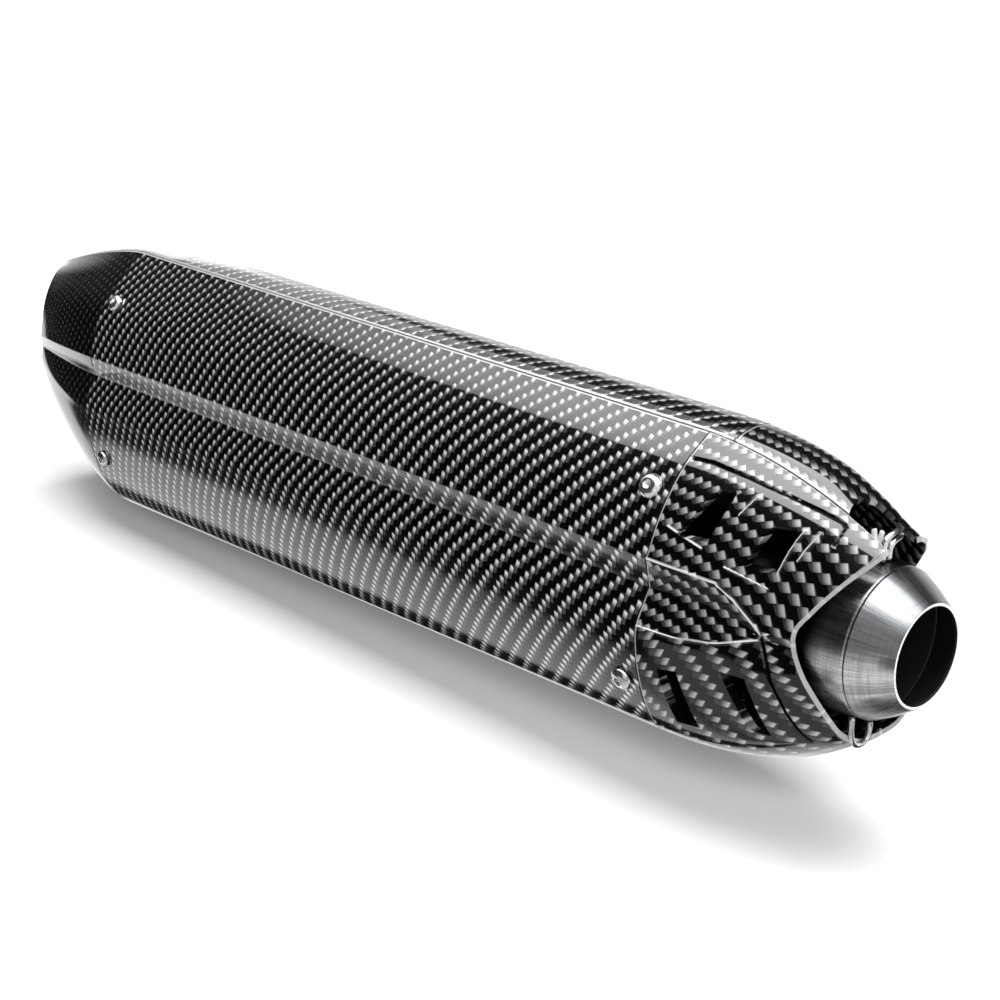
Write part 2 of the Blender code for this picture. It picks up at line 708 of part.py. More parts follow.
def build_can():
    outer = (CAN_HALF_WIDTH, CAN_HALF_HEIGHT)
    inner = (CAN_HALF_WIDTH - CAN_WALL, CAN_HALF_HEIGHT - CAN_WALL)
    fit = (inner[0] - GAP, inner[1] - GAP)
    oval_tube("inner_can", CAN_FRONT_X, CAN_REAR_X, outer, inner, "dark_steel")
    rear_face = INLET_PLATE_X - PLATE_THICKNESS
    bore = CORE_RADIUS - CORE_WALL
    oval_tube("inlet_end_plate", INLET_PLATE_X, rear_face, fit, (bore, bore), "dark_steel")
    hole = OUTLET_TUBE_RADIUS + GAP
    oval_tube("outlet_end_plate", OUTLET_PLATE_X, OUTLET_PLATE_X - PLATE_THICKNESS, fit,
              (hole, hole), "dark_steel")
    core_front = rear_face - GAP
    core_rear = OUTLET_TUBE_START_X + GAP
    core = tube("perforated_core", core_front, core_rear, CORE_RADIUS, CORE_RADIUS, CORE_WALL,
                "dark_steel")
    for i in range(5):
        x = -0.140 - 0.080 * i
        angle = math.radians(7.0 + 45.0 * (i % 2))
        for k in range(2):
            direction = Vector((0.0, math.sin(angle), math.cos(angle)))
            hole_cutter = turned("core_hole_%d_%d" % (i, k), [
                (0.0, -0.03), (0.0022, -0.03), (0.0022, 0.03), (0.0, 0.03),
            ], None, 8, aligned(Vector((x, 0.0, 0.0)), direction))
            cut(core, hole_cutter)
            angle += math.pi / 2
    wrap_inner = CORE_RADIUS + GAP
    wrap_outer = wrap_inner + WRAP_THICKNESS
    tube("steel_wool_wrap", core_front, core_rear, wrap_outer, wrap_outer, WRAP_THICKNESS,
         "steel_wool")
    pack_inner = wrap_outer + GAP
    oval_tube("glass_wool_packing", core_front, OUTLET_PLATE_X + GAP, fit,
              (pack_inner, pack_inner), "glass_wool")


# ---- outlet ----------------------------------------------------------------------
def build_outlet():
    tube("outlet_tube", OUTLET_TUBE_START_X, OUTLET_TUBE_END_X, OUTLET_TUBE_RADIUS,
         OUTLET_TUBE_RADIUS, TUBE_WALL, "brushed_steel")
    front = -0.6060
    rear = front - PLATE_THICKNESS
    outer_front = full_ring(front, COVER_WALL * 1.6)
    outer_rear = full_ring(rear, COVER_WALL * 1.6)
    hole = OUTLET_TUBE_RADIUS + GAP
    plate = loop_body("outlet_face_plate", [
        [(front, y, z) for y, z in outer_front],
        [(rear, y, z) for y, z in outer_rear],
        matched_ellipse(outer_rear, hole, hole, rear),
        matched_ellipse(outer_front, hole, hole, front),
    ], "dark_steel")
    shade(plate)
    ring_front = rear - GAP
    turned("outlet_trim_ring", [
        (hole, ring_front), (0.0262, ring_front), (0.0267, ring_front - 0.0020),
        (0.0262, ring_front - 0.0070), (0.0254, ring_front - 0.0100), (hole, ring_front - 0.0100),
    ], "polished_steel", 32, along_x())


def build_silencer_insert():
    bore = OUTLET_TUBE_RADIUS - TUBE_WALL
    seat_rear = KILLER_FLANGE_X + GAP
    seat_front = seat_rear + SEAT_RING_THICKNESS
    seat = turned("insert_seat_ring", [
        (bore - GAP, seat_front), (bore - GAP, seat_rear),
        (KILLER_TUBE_RADIUS + 2 * GAP, seat_rear), (KILLER_TUBE_RADIUS + 2 * GAP, seat_front),
    ], "dark_steel", ROUND_STEPS, along_x())
    flange_rear = KILLER_FLANGE_X - KILLER_FLANGE_THICKNESS
    inner = KILLER_TUBE_RADIUS - TUBE_WALL
    killer = turned("silencer_insert", [
        (bore - 2 * GAP, KILLER_FLANGE_X), (bore - 2 * GAP, flange_rear), (inner, flange_rear),
        (inner, KILLER_FRONT_X), (KILLER_TUBE_RADIUS, KILLER_FRONT_X),
        (KILLER_TUBE_RADIUS, KILLER_FLANGE_X),
    ], "brushed_steel", ROUND_STEPS, along_x())
    turned("insert_end_cap", [
        (KILLER_TUBE_RADIUS, KILLER_FRONT_X + GAP), (KILLER_TUBE_RADIUS, KILLER_FRONT_X + 0.0023),
        (0.0060, KILLER_FRONT_X + 0.0070), (0.0060, KILLER_FRONT_X + 0.0055),
        (KILLER_TUBE_RADIUS - 0.0022, KILLER_FRONT_X + GAP),
    ], "brushed_steel", ROUND_STEPS, along_x())
    for i in range(4):
        angle = math.radians(52.0 + 45.0 * i)
        hole = turned("insert_hole_%d" % i, [
            (0.0, -0.03), (0.0025, -0.03), (0.0025, 0.03), (0.0, 0.03),
        ], None, 8, aligned(Vector((-0.495 - 0.022 * i, 0.0, 0.0)),
                            Vector((0.0, math.sin(angle), math.cos(angle)))))
        cut(killer, hole)
    head_base = flange_rear - GAP
    position = Vector((0.0, 0.0, KILLER_SCREW_RADIUS_POSITION))
    outward = Matrix.Translation((head_base, 0.0, position.z)) @ Matrix.Rotation(-math.pi / 2, 4, "Y")
    screw = turned("insert_screw", [
        (0.0, 0.0026), (0.0022, 0.0026), (0.0034, 0.0012), (0.0034, 0.0),
        (0.0016, 0.0), (0.0016, -0.0110), (0.0, -0.0110),
    ], "polished_steel", 16, outward)
    socket = turned("insert_screw_socket", [(0.0, 0.0010), (0.0014, 0.0010), (0.0014, 0.005), (0.0, 0.005)],
                    None, 6, outward)
    cut(screw, socket)
    clear = turned("insert_screw_clearance", [(0.0, -0.03), (0.0019, -0.03), (0.0019, 0.03), (0.0, 0.03)],
                   None, 16, outward)
    cut(killer, clear)
    cut(seat, clear)


# ---- hanger on the far side ------------------------------------------------------
def build_hanger():
    boss_start = CAN_HALF_WIDTH + 0.0010
    boss_end = HANGER_FACE_Y - GAP
    placing = along_y(HANGER_X, 0.0, HANGER_Z)
    turned("hanger_boss", [
        (0.0110, boss_start), (0.0110, boss_end), (0.0043, boss_end), (0.0043, boss_start),
    ], "aluminium", 24, placing)
    hole = turned("boss_clearance", [(0.0, 0.030), (0.0114, 0.030), (0.0114, 0.070), (0.0, 0.070)],
                  None, 24, placing)
    cut(bpy.data.objects["far_side_cover"], hole)
    plate_far = HANGER_FACE_Y + HANGER_PLATE_THICKNESS
    eye_x = HANGER_X + HANGER_REACH
    outline = []
    for i in range(11):
        a = math.pi / 2 + math.pi * i / 10
        outline.append((HANGER_X + 0.014 * math.cos(a), HANGER_Z + 0.014 * math.sin(a)))
    for i in range(11):
        a = -math.pi / 2 + math.pi * i / 10
        outline.append((eye_x + 0.017 * math.cos(a), HANGER_Z + 0.017 * math.sin(a)))
    bracket = extruded("hanger_bracket", outline, HANGER_FACE_Y, plate_far, "Y", "aluminium")
    shade(bracket)
    eye = along_y(eye_x, 0.0, HANGER_Z)
    cut(bracket, turned("bolt_clearance", [(0.0, 0.05), (0.0043, 0.05), (0.0043, 0.07), (0.0, 0.07)],
                        None, 20, placing))
    cut(bracket, turned("grommet_clearance", [(0.0, 0.05), (0.0098, 0.05), (0.0098, 0.07), (0.0, 0.07)],
                        None, 24, eye))
    washer_far = plate_far + GAP + 0.0016
    turned("hanger_washer", [
        (0.0080, plate_far + GAP), (0.0080, washer_far), (0.0043, washer_far), (0.0043, plate_far + GAP),
    ], "polished_steel", 24, placing)
    base = washer_far + GAP
    bolt = turned("hanger_bolt", [
        (0.0, base + 0.0044), (0.0055, base + 0.0044), (0.0070, base + 0.0028), (0.0070, base),
        (0.0039, base), (0.0039, base - 0.0240), (0.0, base - 0.0240),
    ], "polished_steel", 20, placing)
    cut(bolt, turned("hanger_bolt_socket", [
        (0.0, base + 0.0018), (0.0029, base + 0.0018), (0.0029, base + 0.008), (0.0, base + 0.008),
    ], None, 6, placing))
    middle = 0.5 * (HANGER_FACE_Y + plate_far)
    rim = 0.0044
    groove = 0.5 * HANGER_PLATE_THICKNESS + GAP
    turned("hanger_grommet", [
        (0.0120, middle - rim), (0.0120, middle - groove), (0.0095, middle - groove),
        (0.0095, middle + groove), (0.0120, middle + groove), (0.0120, middle + rim),
        (0.0066, middle + rim), (0.0066, middle - rim),
    ], "rubber", 20, eye)
    turned("hanger_collar", [
        (0.0063, middle - rim - 0.0006), (0.0063, middle + rim + 0.0006),
        (0.0042, middle + rim + 0.0006), (0.0042, middle - rim - 0.0006),
    ], "polished_steel", 20, eye)


def lower_to_tip_ring():
    """Bring the middle of the tip's end ring, above the pipe's axis, down to the origin."""
    for item in list(PARTS.objects) + list(CUTTERS.objects):
        item.location.z -= TIP_RING_RADIUS


build_inlet()
build_spring_hooks()
build_skins()
build_frames()
build_cover_screws()
build_can()
build_outlet()
build_silencer_insert()
build_hanger()
lower_to_tip_ring()
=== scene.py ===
"""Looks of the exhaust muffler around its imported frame: carbon covers, steel inlet, hanger and stage."""

import json
import math

import bmesh
import bpy
from mathutils import Matrix, Vector


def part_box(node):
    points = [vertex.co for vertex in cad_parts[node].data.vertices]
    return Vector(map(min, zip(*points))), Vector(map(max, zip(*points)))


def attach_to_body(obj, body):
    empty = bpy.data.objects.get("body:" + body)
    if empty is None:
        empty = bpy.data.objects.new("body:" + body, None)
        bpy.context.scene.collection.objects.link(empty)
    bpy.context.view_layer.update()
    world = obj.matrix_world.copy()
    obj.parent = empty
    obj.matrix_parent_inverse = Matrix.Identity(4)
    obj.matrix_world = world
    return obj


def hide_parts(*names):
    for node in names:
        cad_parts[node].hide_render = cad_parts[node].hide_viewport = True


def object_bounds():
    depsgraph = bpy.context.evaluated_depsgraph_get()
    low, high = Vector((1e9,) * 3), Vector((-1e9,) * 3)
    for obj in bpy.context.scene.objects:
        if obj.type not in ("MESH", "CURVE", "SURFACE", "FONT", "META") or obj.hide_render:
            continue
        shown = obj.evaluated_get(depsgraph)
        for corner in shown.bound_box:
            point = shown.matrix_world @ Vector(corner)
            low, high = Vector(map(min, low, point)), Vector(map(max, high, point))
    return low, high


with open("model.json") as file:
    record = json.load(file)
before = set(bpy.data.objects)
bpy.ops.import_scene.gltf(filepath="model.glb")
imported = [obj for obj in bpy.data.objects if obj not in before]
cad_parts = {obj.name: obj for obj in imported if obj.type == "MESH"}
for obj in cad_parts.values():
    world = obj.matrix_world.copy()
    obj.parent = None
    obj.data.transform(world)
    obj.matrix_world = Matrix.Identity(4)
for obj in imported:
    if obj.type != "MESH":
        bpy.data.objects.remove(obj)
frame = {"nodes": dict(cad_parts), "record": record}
CAD_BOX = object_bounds()
NODES = frame["nodes"]
TIP_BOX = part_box("inlet_reducer")
AXIS_LIFT = Vector((0.0, 0.0, 0.5 * (TIP_BOX[0].z + TIP_BOX[1].z)))


def box(node):
    """The node's two corners, measured from the pipe's axis."""
    low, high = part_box(node)
    return low - AXIS_LIFT, high - AXIS_LIFT


def low_x(node):
    return box(node)[0].x


def high_x(node):
    return box(node)[1].x


# ---- driving dimensions, metres, taken from the frame where it holds them ----
MM = 0.001
TIP_FRONT_X = high_x("inlet_reducer")
WELD_X = low_x("inlet_reducer")
PIPE_END_X = low_x("inlet_pipe")
TIP_RADIUS = 19.0 * MM
WELD_RADIUS = box("inlet_reducer")[1].z
PIPE_END_RADIUS = box("inlet_pipe")[1].z
TUBE_WALL = 1.5 * MM
COVER_WALL = 1.8 * MM
NEAR_JOINT_X = high_x("near_side_cover")
FAR_JOINT_X = high_x("far_side_cover")
CAP_NEAR_X = low_x("inlet_cap_near")
CAP_FAR_X = low_x("inlet_cap_far")
OUTLET_NEAR_X = high_x("outlet_cap_near")
OUTLET_FAR_X = high_x("outlet_cap_far")
SECTION_REAR_X = OUTLET_NEAR_X
OUTLET_END_X = CAD_BOX[0].x
MOUTH_FRONT_X = -12.0 * MM
SEAM_NEAR_GAP = 0.8 * MM
SEAM_FAR_GAP = 0.5 * MM
SEAM_RISE = 0.6 * MM
KEEL_GAP = 0.3 * MM

WARP_TOW = 2.19 * MM
WEFT_TOW = 2.82 * MM
CLOTH_START_X = -0.200
CLOTH_CURL = 0.34


def in_mm(value):
    """Metres from nested lists and tuples of millimetres."""
    if isinstance(value, (list, tuple)):
        return type(value)(in_mm(item) for item in value)
    return value * MM


# ---- cross sections, the same as the frame's: (out from the mid plane, height), millimetres ----
INLET_UPPER = in_mm([(10, 60.3), (24, 50), (35, 35), (41.6, 19.5)])
INLET_LOWER = in_mm([
    (39.4, 8), (45.6, -4), (46, -13), (44, -24.5), (40, -36.5), (34, -47.5), (25, -54.5), (12, -59.7),
    (0, -60.8),
])
REAR_UPPER = in_mm([(10, 77), (25, 62.5), (39, 45.5), (47.4, 21)])
REAR_LOWER = in_mm([
    (45.3, 10), (52.3, -3.5), (52.8, -12), (51.6, -29), (47.5, -45.5), (41.5, -58), (32, -68),
    (16, -76.5), (0, -79.5),
])
MOUTH_UPPER = in_mm([(9.3, 36.6), (15, 32.5), (20, 24.5), (25.5, 10)])
MOUTH_LOWER = in_mm([
    (25.5, 9), (25.6, 4), (25.5, -3), (24.8, -10), (23, -17), (20, -24), (16, -28), (10, -31.2),
    (0, -32),
])
OUTLET_UPPER = in_mm([(7, 58.8), (16.8, 50), (24.3, 34.8), (28.9, 13.4)])
OUTLET_LOWER = in_mm([
    (28.2, 7), (29.5, 0), (29.3, -4.6), (28.1, -10.4), (25.1, -17), (21, -22.8), (16, -26.8),
    (8.4, -30), (0, -31),
])
CREASE_EDGE_TRACK = in_mm([
    (-89.5, 41.6, 19.5), (-74, 40.4, 19), (-60, 38.3, 18), (-53, 36.8, 13.5), (-45, 35.2, 6.5),
    (-42, 34.7, 3.8), (-31.5, 32, 5), (-12, 25.5, 6),
])
CREASE_VALLEY_TRACK = in_mm([
    (-89.5, 39.4, 8), (-74, 37.8, 8.5), (-60, 36.5, 8.5), (-53, 35.5, 6.5), (-45, 34.6, 4),
    (-42, 34.6, 3), (-31.5, 31.9, 3.5), (-12, 25.5, 4),
])
CREASE_FLARE_TRACK = in_mm([
    (-89.5, 45.6, -5), (-73, 44, -4.7), (-57, 40.8, -2.5), (-48, 37.6, 0.2), (-42, 34.8, 2),
    (-31.5, 31.7, 1), (-12, 25.3, 0),
])
MOUTH_EDGE = in_mm([
    (45, -10), (36.6, -12), (25.4, -20), (16.3, -26.5), (6.7, -31.5), (3, -31.5), (-7.2, -26.5),
    (-18.8, -21), (-26.6, -18), (-32, -16.5), (-42, -16),
])
CROWN_TRACK = in_mm([
    (-632, 0), (-521, 0), (-480, 1.8), (-420, 3.1), (-89, 3.1), (-45, 4.2), (-27, 2.2), (-18, 0.4),
    (-12, 0),
])


def glide(track, value):
    """Smooth interpolation in a track whose first number orders its rows."""
    rows = sorted(track)
    if value <= rows[0][0]:
        return rows[0][1:]
    if value >= rows[-1][0]:
        return rows[-1][1:]
    i = max(k for k in range(len(rows) - 1) if rows[k][0] <= value)
    low, high = rows[i], rows[i + 1]
    before = rows[max(i - 1, 0)]
    after = rows[min(i + 2, len(rows) - 1)]
    span = high[0] - low[0]
    t = (value - low[0]) / span
    result = []
    for a in range(1, len(low)):
        rise = (high[a] - low[a]) / span
        slope_low = tangent((before[0], before[a]), (low[0], low[a]), (high[0], high[a]), rise)
        slope_high = tangent((low[0], low[a]), (high[0], high[a]), (after[0], after[a]), rise)
        result.append(hermite(low[a], high[a], slope_low * span, slope_high * span, t))
    return tuple(result)


def tangent(first, middle, last, rise):
    """Slope at the middle point that never swings past its neighbours."""
    if last[0] - middle[0] < 1e-9 or middle[0] - first[0] < 1e-9:
        return rise
    left = (middle[1] - first[1]) / (middle[0] - first[0])
    right = (last[1] - middle[1]) / (last[0] - middle[0])
    if left * right <= 0.0:
        return 0.0
    return 2.0 * left * right / (left + right)


def hermite(low, high, slope_low, slope_high, t):
    h1 = (1 + 2 * t) * (1 - t) ** 2
    h2 = t * (1 - t) ** 2
    h3 = t * t * (3 - 2 * t)
    h4 = t * t * (t - 1)
    return h1 * low + h2 * slope_low + h3 * high + h4 * slope_high


def mix(first, second, weight_out, weight_height):
    """Blend two lists of section points."""
    return [
        (a[0] + (b[0] - a[0]) * weight_out, a[1] + (b[1] - a[1]) * weight_height)
        for a, b in zip(first, second)
    ]


def bullet_weight(s):
    """Rounded taper from 0 to 1, gentle first and steeper at the end."""
    steep = 0.6
    share = steep * max(s, 0.0) ** 0.69
    return (1.0 - math.sqrt(1.0 - share ** 2)) / (1.0 - math.sqrt(1.0 - steep ** 2))


def section_controls(x):
    """Control points of the near half of the section at x."""
    if SECTION_REAR_X <= x <= CAP_NEAR_X:
        t = (x - CAP_NEAR_X) / (SECTION_REAR_X - CAP_NEAR_X)
        return mix(INLET_UPPER, REAR_UPPER, t, t), mix(INLET_LOWER, REAR_LOWER, t, t)
    if x < SECTION_REAR_X:
        w = bullet_weight((x - SECTION_REAR_X) / (OUTLET_END_X - SECTION_REAR_X))
        return mix(REAR_UPPER, OUTLET_UPPER, w, w), mix(REAR_LOWER, OUTLET_LOWER, w, w)
    s = min((x - CAP_NEAR_X) / (MOUTH_FRONT_X - CAP_NEAR_X), 1.0)
    out = 0.25 * s + 0.75 * s ** 2.2
    height = 0.25 * s + 0.75 * s ** 2.0
    keel = 0.15 * s + 0.85 * s ** 2.6
    upper = mix(INLET_UPPER, MOUTH_UPPER, out, height)
    lower = mix(INLET_LOWER, MOUTH_LOWER, out, keel)
    upper[3] = glide(CREASE_EDGE_TRACK, x)
    lower[0] = glide(CREASE_VALLEY_TRACK, x)
    lower[1] = glide(CREASE_FLARE_TRACK, x)
    return upper, lower


def smooth(points, count):
    """Catmull-Rom curve through the points, count steps per span."""
    first = (2 * points[0][0] - points[1][0], 2 * points[0][1] - points[1][1])
    last = (2 * points[-1][0] - points[-2][0], 2 * points[-1][1] - points[-2][1])
    padded = [first] + list(points) + [last]
    curve = []
    for i in range(len(points) - 1):
        p0, p1, p2, p3 = padded[i:i + 4]
        for k in range(count):
            t = k / count
            curve.append(tuple(spline_value(p0[a], p1[a], p2[a], p3[a], t) for a in (0, 1)))
    curve.append(tuple(points[-1]))
    return curve


def spline_value(a, b, c, d, t):
    """One coordinate of a Catmull-Rom span."""
    linear = (c - a) * t
    square = (2 * a - 5 * b + 4 * c - d) * t * t
    cube = (3 * b - a - 3 * c + d) * t ** 3
    return 0.5 * (2 * b + linear + square + cube)


BODY_STEPS = (14, 9)
CAP_STEPS = (40, 18)
SHELF_STEPS = 5
SHELF_ROWS = SHELF_STEPS - 1 + 6
KEEL_STEPS = 6
CREASE_ROUND = 0.5 * MM
LIP_WIDTH = 0.9 * MM
LIP_RISE = 0.7 * MM
MOUTH_SEARCH_START = -20.0 * MM
MOUTH_SEARCH_STEPS = 30
SKIN_STATIONS = 90


def crease(upper, lower):
    """Join the upper panel and the lower panel with a shelf whose two corners are rounded."""
    edge = upper[-1]
    valley = lower[0]
    shelf = []
    for k in range(1, SHELF_STEPS):
        t = k / SHELF_STEPS
        shelf.extend(mix([edge], [valley], t, t))
    length = math.dist(edge, valley)
    reach = min(CREASE_ROUND, 0.4 * length / SHELF_STEPS)
    first = rounded_corner(upper[-2], edge, shelf[0], reach)
    second = rounded_corner(shelf[-1], valley, lower[1], reach)
    return upper[:-1] + first + shelf + second + lower[1:]


def rounded_corner(before, corner, after, reach):
    """Three points that round a corner."""
    start = toward(corner, before, reach)
    end = toward(corner, after, reach)
    middle = tuple(0.25 * start[a] + 0.5 * corner[a] + 0.25 * end[a] for a in (0, 1))
    return [start, middle, end]


def toward(point, target, reach):
    length = max(math.dist(point, target), 1e-9)
    t = min(reach / length, 0.45)
    return (point[0] + (target[0] - point[0]) * t, point[1] + (target[1] - point[1]) * t)


def near_profile(x, steps=BODY_STEPS):
    """Near half, top seam to keel seam, as (y, z)."""
    upper, lower = section_controls(x)
    upper = [(upper[0][0] + SEAM_NEAR_GAP, upper[0][1])] + upper[1:]
    keel = lower[-2]
    lower = lower[:-2] + [(keel[0] + KEEL_GAP, keel[1])]
    points = crease(smooth(upper, steps[0]), smooth(lower, steps[1]))
    return [(-out, height) for out, height in points]


def far_profile(x, steps=BODY_STEPS):
    """Top panel, far side and keel as (y, z), from the top seam round to the keel seam."""
    upper, lower = section_controls(x)
    rise = glide(CROWN_TRACK, x)[0]
    seam_out, seam_height = upper[0]
    start = -seam_out + SEAM_FAR_GAP
    lip = [(start, seam_height), (start + 0.5 * LIP_WIDTH, seam_height + 0.55 * LIP_RISE),
           (start + LIP_WIDTH, seam_height + LIP_RISE)]
    top = [(start + LIP_WIDTH + 0.3 * MM, seam_height + LIP_RISE - 0.35 * MM),
           (-0.5 * seam_out, seam_height + max(0.6 * rise, SEAM_RISE)),
           (0.2 * seam_out, seam_height + max(rise, SEAM_RISE))]
    side = [(seam_out, seam_height + 0.9 * rise)] + upper[1:]
    panel = smooth(top + [side[0]], 6)[:-1] + smooth(side, steps[0])
    keel = lower[-2]
    below = smooth(lower, steps[1])
    for k in range(1, KEEL_STEPS + 1):
        below.append(keel_bottom(keel, lower[-1], k / KEEL_STEPS))
    return crease(lip + panel, below)


def keel_bottom(keel, lowest, t):
    """Point on the far shell's foot between the mid plane and the near seam."""
    end = (-keel[0] + KEEL_GAP, keel[1])
    curve = t * t
    return (end[0] * t, lowest[1] + (end[1] - lowest[1]) * curve)


ARCS = {}


class Skin:
    """A profile sampled at even stations; shelf is the row where the crease's shelf starts."""

    def __init__(self, profile, low, high, steps, stations):
        self.low = low
        self.pitch = (high - low) / (stations - 1)
        self.rows = [profile(low + self.pitch * i, steps) for i in range(stations)]
        self.count = len(self.rows[0])
        spans = len(INLET_LOWER) - 1
        below = spans * steps[1] + KEEL_STEPS if profile is far_profile else (spans - 1) * steps[1]
        self.shelf = self.count - below - SHELF_ROWS

    def at(self, x, j):
        place = (x - self.low) / self.pitch
        i = max(0, min(int(place), len(self.rows) - 2))
        t = place - i
        first, second = self.rows[i][j], self.rows[i + 1][j]
        return first[0] + (second[0] - first[0]) * t, first[1] + (second[1] - first[1]) * t


def fixed(x):
    """Sheet edge that lies at one x."""
    return lambda skin, j: x


def mouth_edge(skin, j):
    """Edge x where profile line j meets the angled inlet mouth, found by halving steps."""
    x = MOUTH_SEARCH_START
    for _ in range(MOUTH_SEARCH_STEPS):
        x = 0.5 * (x + glide(MOUTH_EDGE, skin.at(x, j)[1])[0])
    return x


# ---- mesh helpers ----
def mesh_piece(name, vertices, faces, material, body="muffler"):
    """New object from points measured from the pipe's axis; a cutter has no material."""
    mesh = bpy.data.meshes.new(name)
    mesh.from_pydata([tuple(v) for v in vertices], [], faces)
    mesh.update()
    piece = link_piece(name, mesh)
    if material is not None:
        attach(piece, material, body)
    mesh.shade_smooth()
    return piece


def link_piece(name, mesh):
    piece = bpy.data.objects.new(name, mesh)
    piece.location = AXIS_LIFT
    bpy.context.scene.collection.objects.link(piece)
    return piece


def attach(piece, material, body):
    """Give the piece its finish and let it ride on its body."""
    piece.data.materials.append(material)
    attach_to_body(piece, body)


def body_cloth(x, arc, _bias):
    """Tow numbers of the main cloth, which spreads with the section and curls to the outlet."""
    curl = CLOTH_CURL * min(x - CLOTH_START_X, 0.0) ** 2
    spread = ARC_START / near_arc(x)
    return x / WARP_TOW, (arc * spread - curl) / WEFT_TOW


def cap_cloth(x, arc, bias):
    """Tow numbers of the inlet caps: cut on the bias above the flare, slanted below it."""
    u, v = x / MM, arc / MM
    if bias:
        return 0.5 * (v / 1.45 + u / 2.0), 0.5 * (v / 1.45 - u / 2.0)
    return 0.132 * u + 0.321 * v, -0.341 * u - 0.072 * v


def near_arc(x):
    """Length of the near profile at x."""
    key = round(x, 4)
    if key not in ARCS:
        points = near_profile(x)
        ARCS[key] = sum(math.dist(a, b) for a, b in zip(points, points[1:]))
    return ARCS[key]


ARC_START = near_arc(CLOTH_START_X)


def sheet(name, profile, start_of, end_of, shares, material, cloth, relief=None, steps=BODY_STEPS):
    """Fine lofted cover with cloth coordinates, before it gets its thickness."""
    finish_x = 0.0 if end_of is mouth_edge else end_of(None, 0)
    low, high = sorted((start_of(None, 0), finish_x))
    skin = Skin(profile, low, high, steps, SKIN_STATIONS)
    count = skin.count
    edges = [(start_of(skin, j), end_of(skin, j)) for j in range(count)]
    plain, arcs = loft(skin, edges, shares)
    faces = []
    for i in range(len(shares) - 1):
        for j in range(count - 1):
            a = i * count + j
            faces.append((a, a + 1, a + 1 + count, a + count))
    vertices = plain if relief is None else relieved(plain, faces, relief)
    piece = mesh_piece(name, vertices, faces, material)
    places = [cloth_place(plain, arcs, cloth, bias) for bias in (False, True)]
    heights = [relief(place) / MM if relief else 0.0 for place in plain]
    lip_rows = 2 if profile is far_profile else 1
    for layer in CLOTH_LAYERS:
        piece.data.uv_layers.new(name=layer)
    weave, panel, relief_and_painted_light = [piece.data.uv_layers[layer].data for layer in CLOTH_LAYERS]
    for face in piece.data.polygons:
        bias = face.index % (count - 1) < skin.shelf + SHELF_ROWS + steps[1] - 1
        column = face.index // (count - 1) if relief is not None else 2
        for loop in face.loop_indices:
            vertex = piece.data.loops[loop].vertex_index
            row = vertex % count
            weave[loop].uv = places[bias][vertex]
            panel[loop].uv = (0.0 if bias else 1.0, (row - skin.shelf) / (SHELF_ROWS - 1))
            # The seam lip rows get full height, which paints a highlight along them.
            height = 1.0 if row < lip_rows else heights[vertex]
            relief_and_painted_light[loop].uv = ((JOINT_LINE, JOINT_RIM, height)[min(column, 2)], 0.0)
    point_out(piece)
    return piece


def loft(skin, edges, shares):
    """Points of a sheet, row by row from edge to edge, and how far round the section each lies."""
    points, arcs = [], []
    for share in shares:
        arc = 0.0
        previous = None
        for j, (start, end) in enumerate(edges):
            x = start + (end - start) * share
            y, z = skin.at(x, j)
            if previous is not None:
                arc += math.dist(previous, (y, z))
            previous = (y, z)
            points.append(Vector((x, y, z)))
            arcs.append(arc)
    return points, arcs


def cloth_place(points, arcs, cloth, bias):
    return [cloth(point.x, arc, bias) for point, arc in zip(points, arcs)]


# The sheets' UV layers: tow numbers; (0 on the bias cloth or 1 on the flare, row across the crease
# shelf); relief height in millimetres, with special values along the joint to the side cover.
# The relief height also paints light: ridges, the seam lip and the joint rim get a painted highlight;
# grooves get painted shade, and the joint line is a dark joint.
CLOTH_LAYERS = ("weave", "panel", "relief_and_painted_light")
JOINT_LINE = -1.0
JOINT_RIM = 0.42


def relieved(vertices, faces, relief):
    """Move points along their outward normals by the relief depth at each point."""
    mesh = bpy.data.meshes.new("relief_guide")
    mesh.from_pydata([tuple(v) for v in vertices], [], faces)
    mesh.update()
    moved = []
    for vertex in mesh.vertices:
        normal = vertex.normal.copy()
        if normal.y * vertex.co.y + normal.z * vertex.co.z < 0.0:
            normal.negate()
        moved.append(vertex.co + normal * relief(vertex.co))
    bpy.data.meshes.remove(mesh)
    return moved


def point_out(piece):
    """Turn the sheet's faces away from the muffler's middle line."""
    outward = 0.0
    for face in piece.data.polygons:
        radial = Vector((0.0, face.center.y, face.center.z))
        outward += face.normal.dot(radial) * face.area
    if outward < 0.0:
        piece.data.flip_normals()


def thicken(piece, wall, even_wall=True):
    solid = piece.modifiers.new("wall", "SOLIDIFY")
    solid.thickness = wall
    solid.offset = -1.0
    solid.use_even_offset = even_wall


def soften(piece, width, angle=45.0, segments=2):
    """Round the edges sharper than the angle."""
    bevel = piece.modifiers.new("edges", "BEVEL")
    bevel.width = width
    bevel.segments = segments
    bevel.limit_method = "ANGLE"
    bevel.angle_limit = math.radians(angle)
    bevel.harden_normals = True
    bevel.use_clamp_overlap = True


def dress(piece, node, width, angle=45.0, segments=2):
    """Round the piece's edges and put it in the node's place."""
    soften(piece, width, angle, segments)
    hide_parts(node)


def cut_and_freeze(piece, cutters):
    """Take the cutters out of the piece, turn the result into its mesh and remove the cutters."""
    for cutter in cutters:
        boolean = piece.modifiers.new("cut_" + cutter.name, "BOOLEAN")
        boolean.operation = "DIFFERENCE"
        boolean.solver = "EXACT"
        boolean.object = cutter
    mesh = final_mesh(piece)
    piece.modifiers.clear()
    piece.data = mesh
    drop(cutters)


def final_mesh(item):
    """Copy of the item's mesh as it is after its modifiers."""
    graph = bpy.context.evaluated_depsgraph_get()
    graph.update()
    return bpy.data.meshes.new_from_object(item.evaluated_get(graph), preserve_all_data_layers=True,
                                           depsgraph=graph)


def drop(items):
    for item in items:
        bpy.data.objects.remove(item, do_unlink=True)


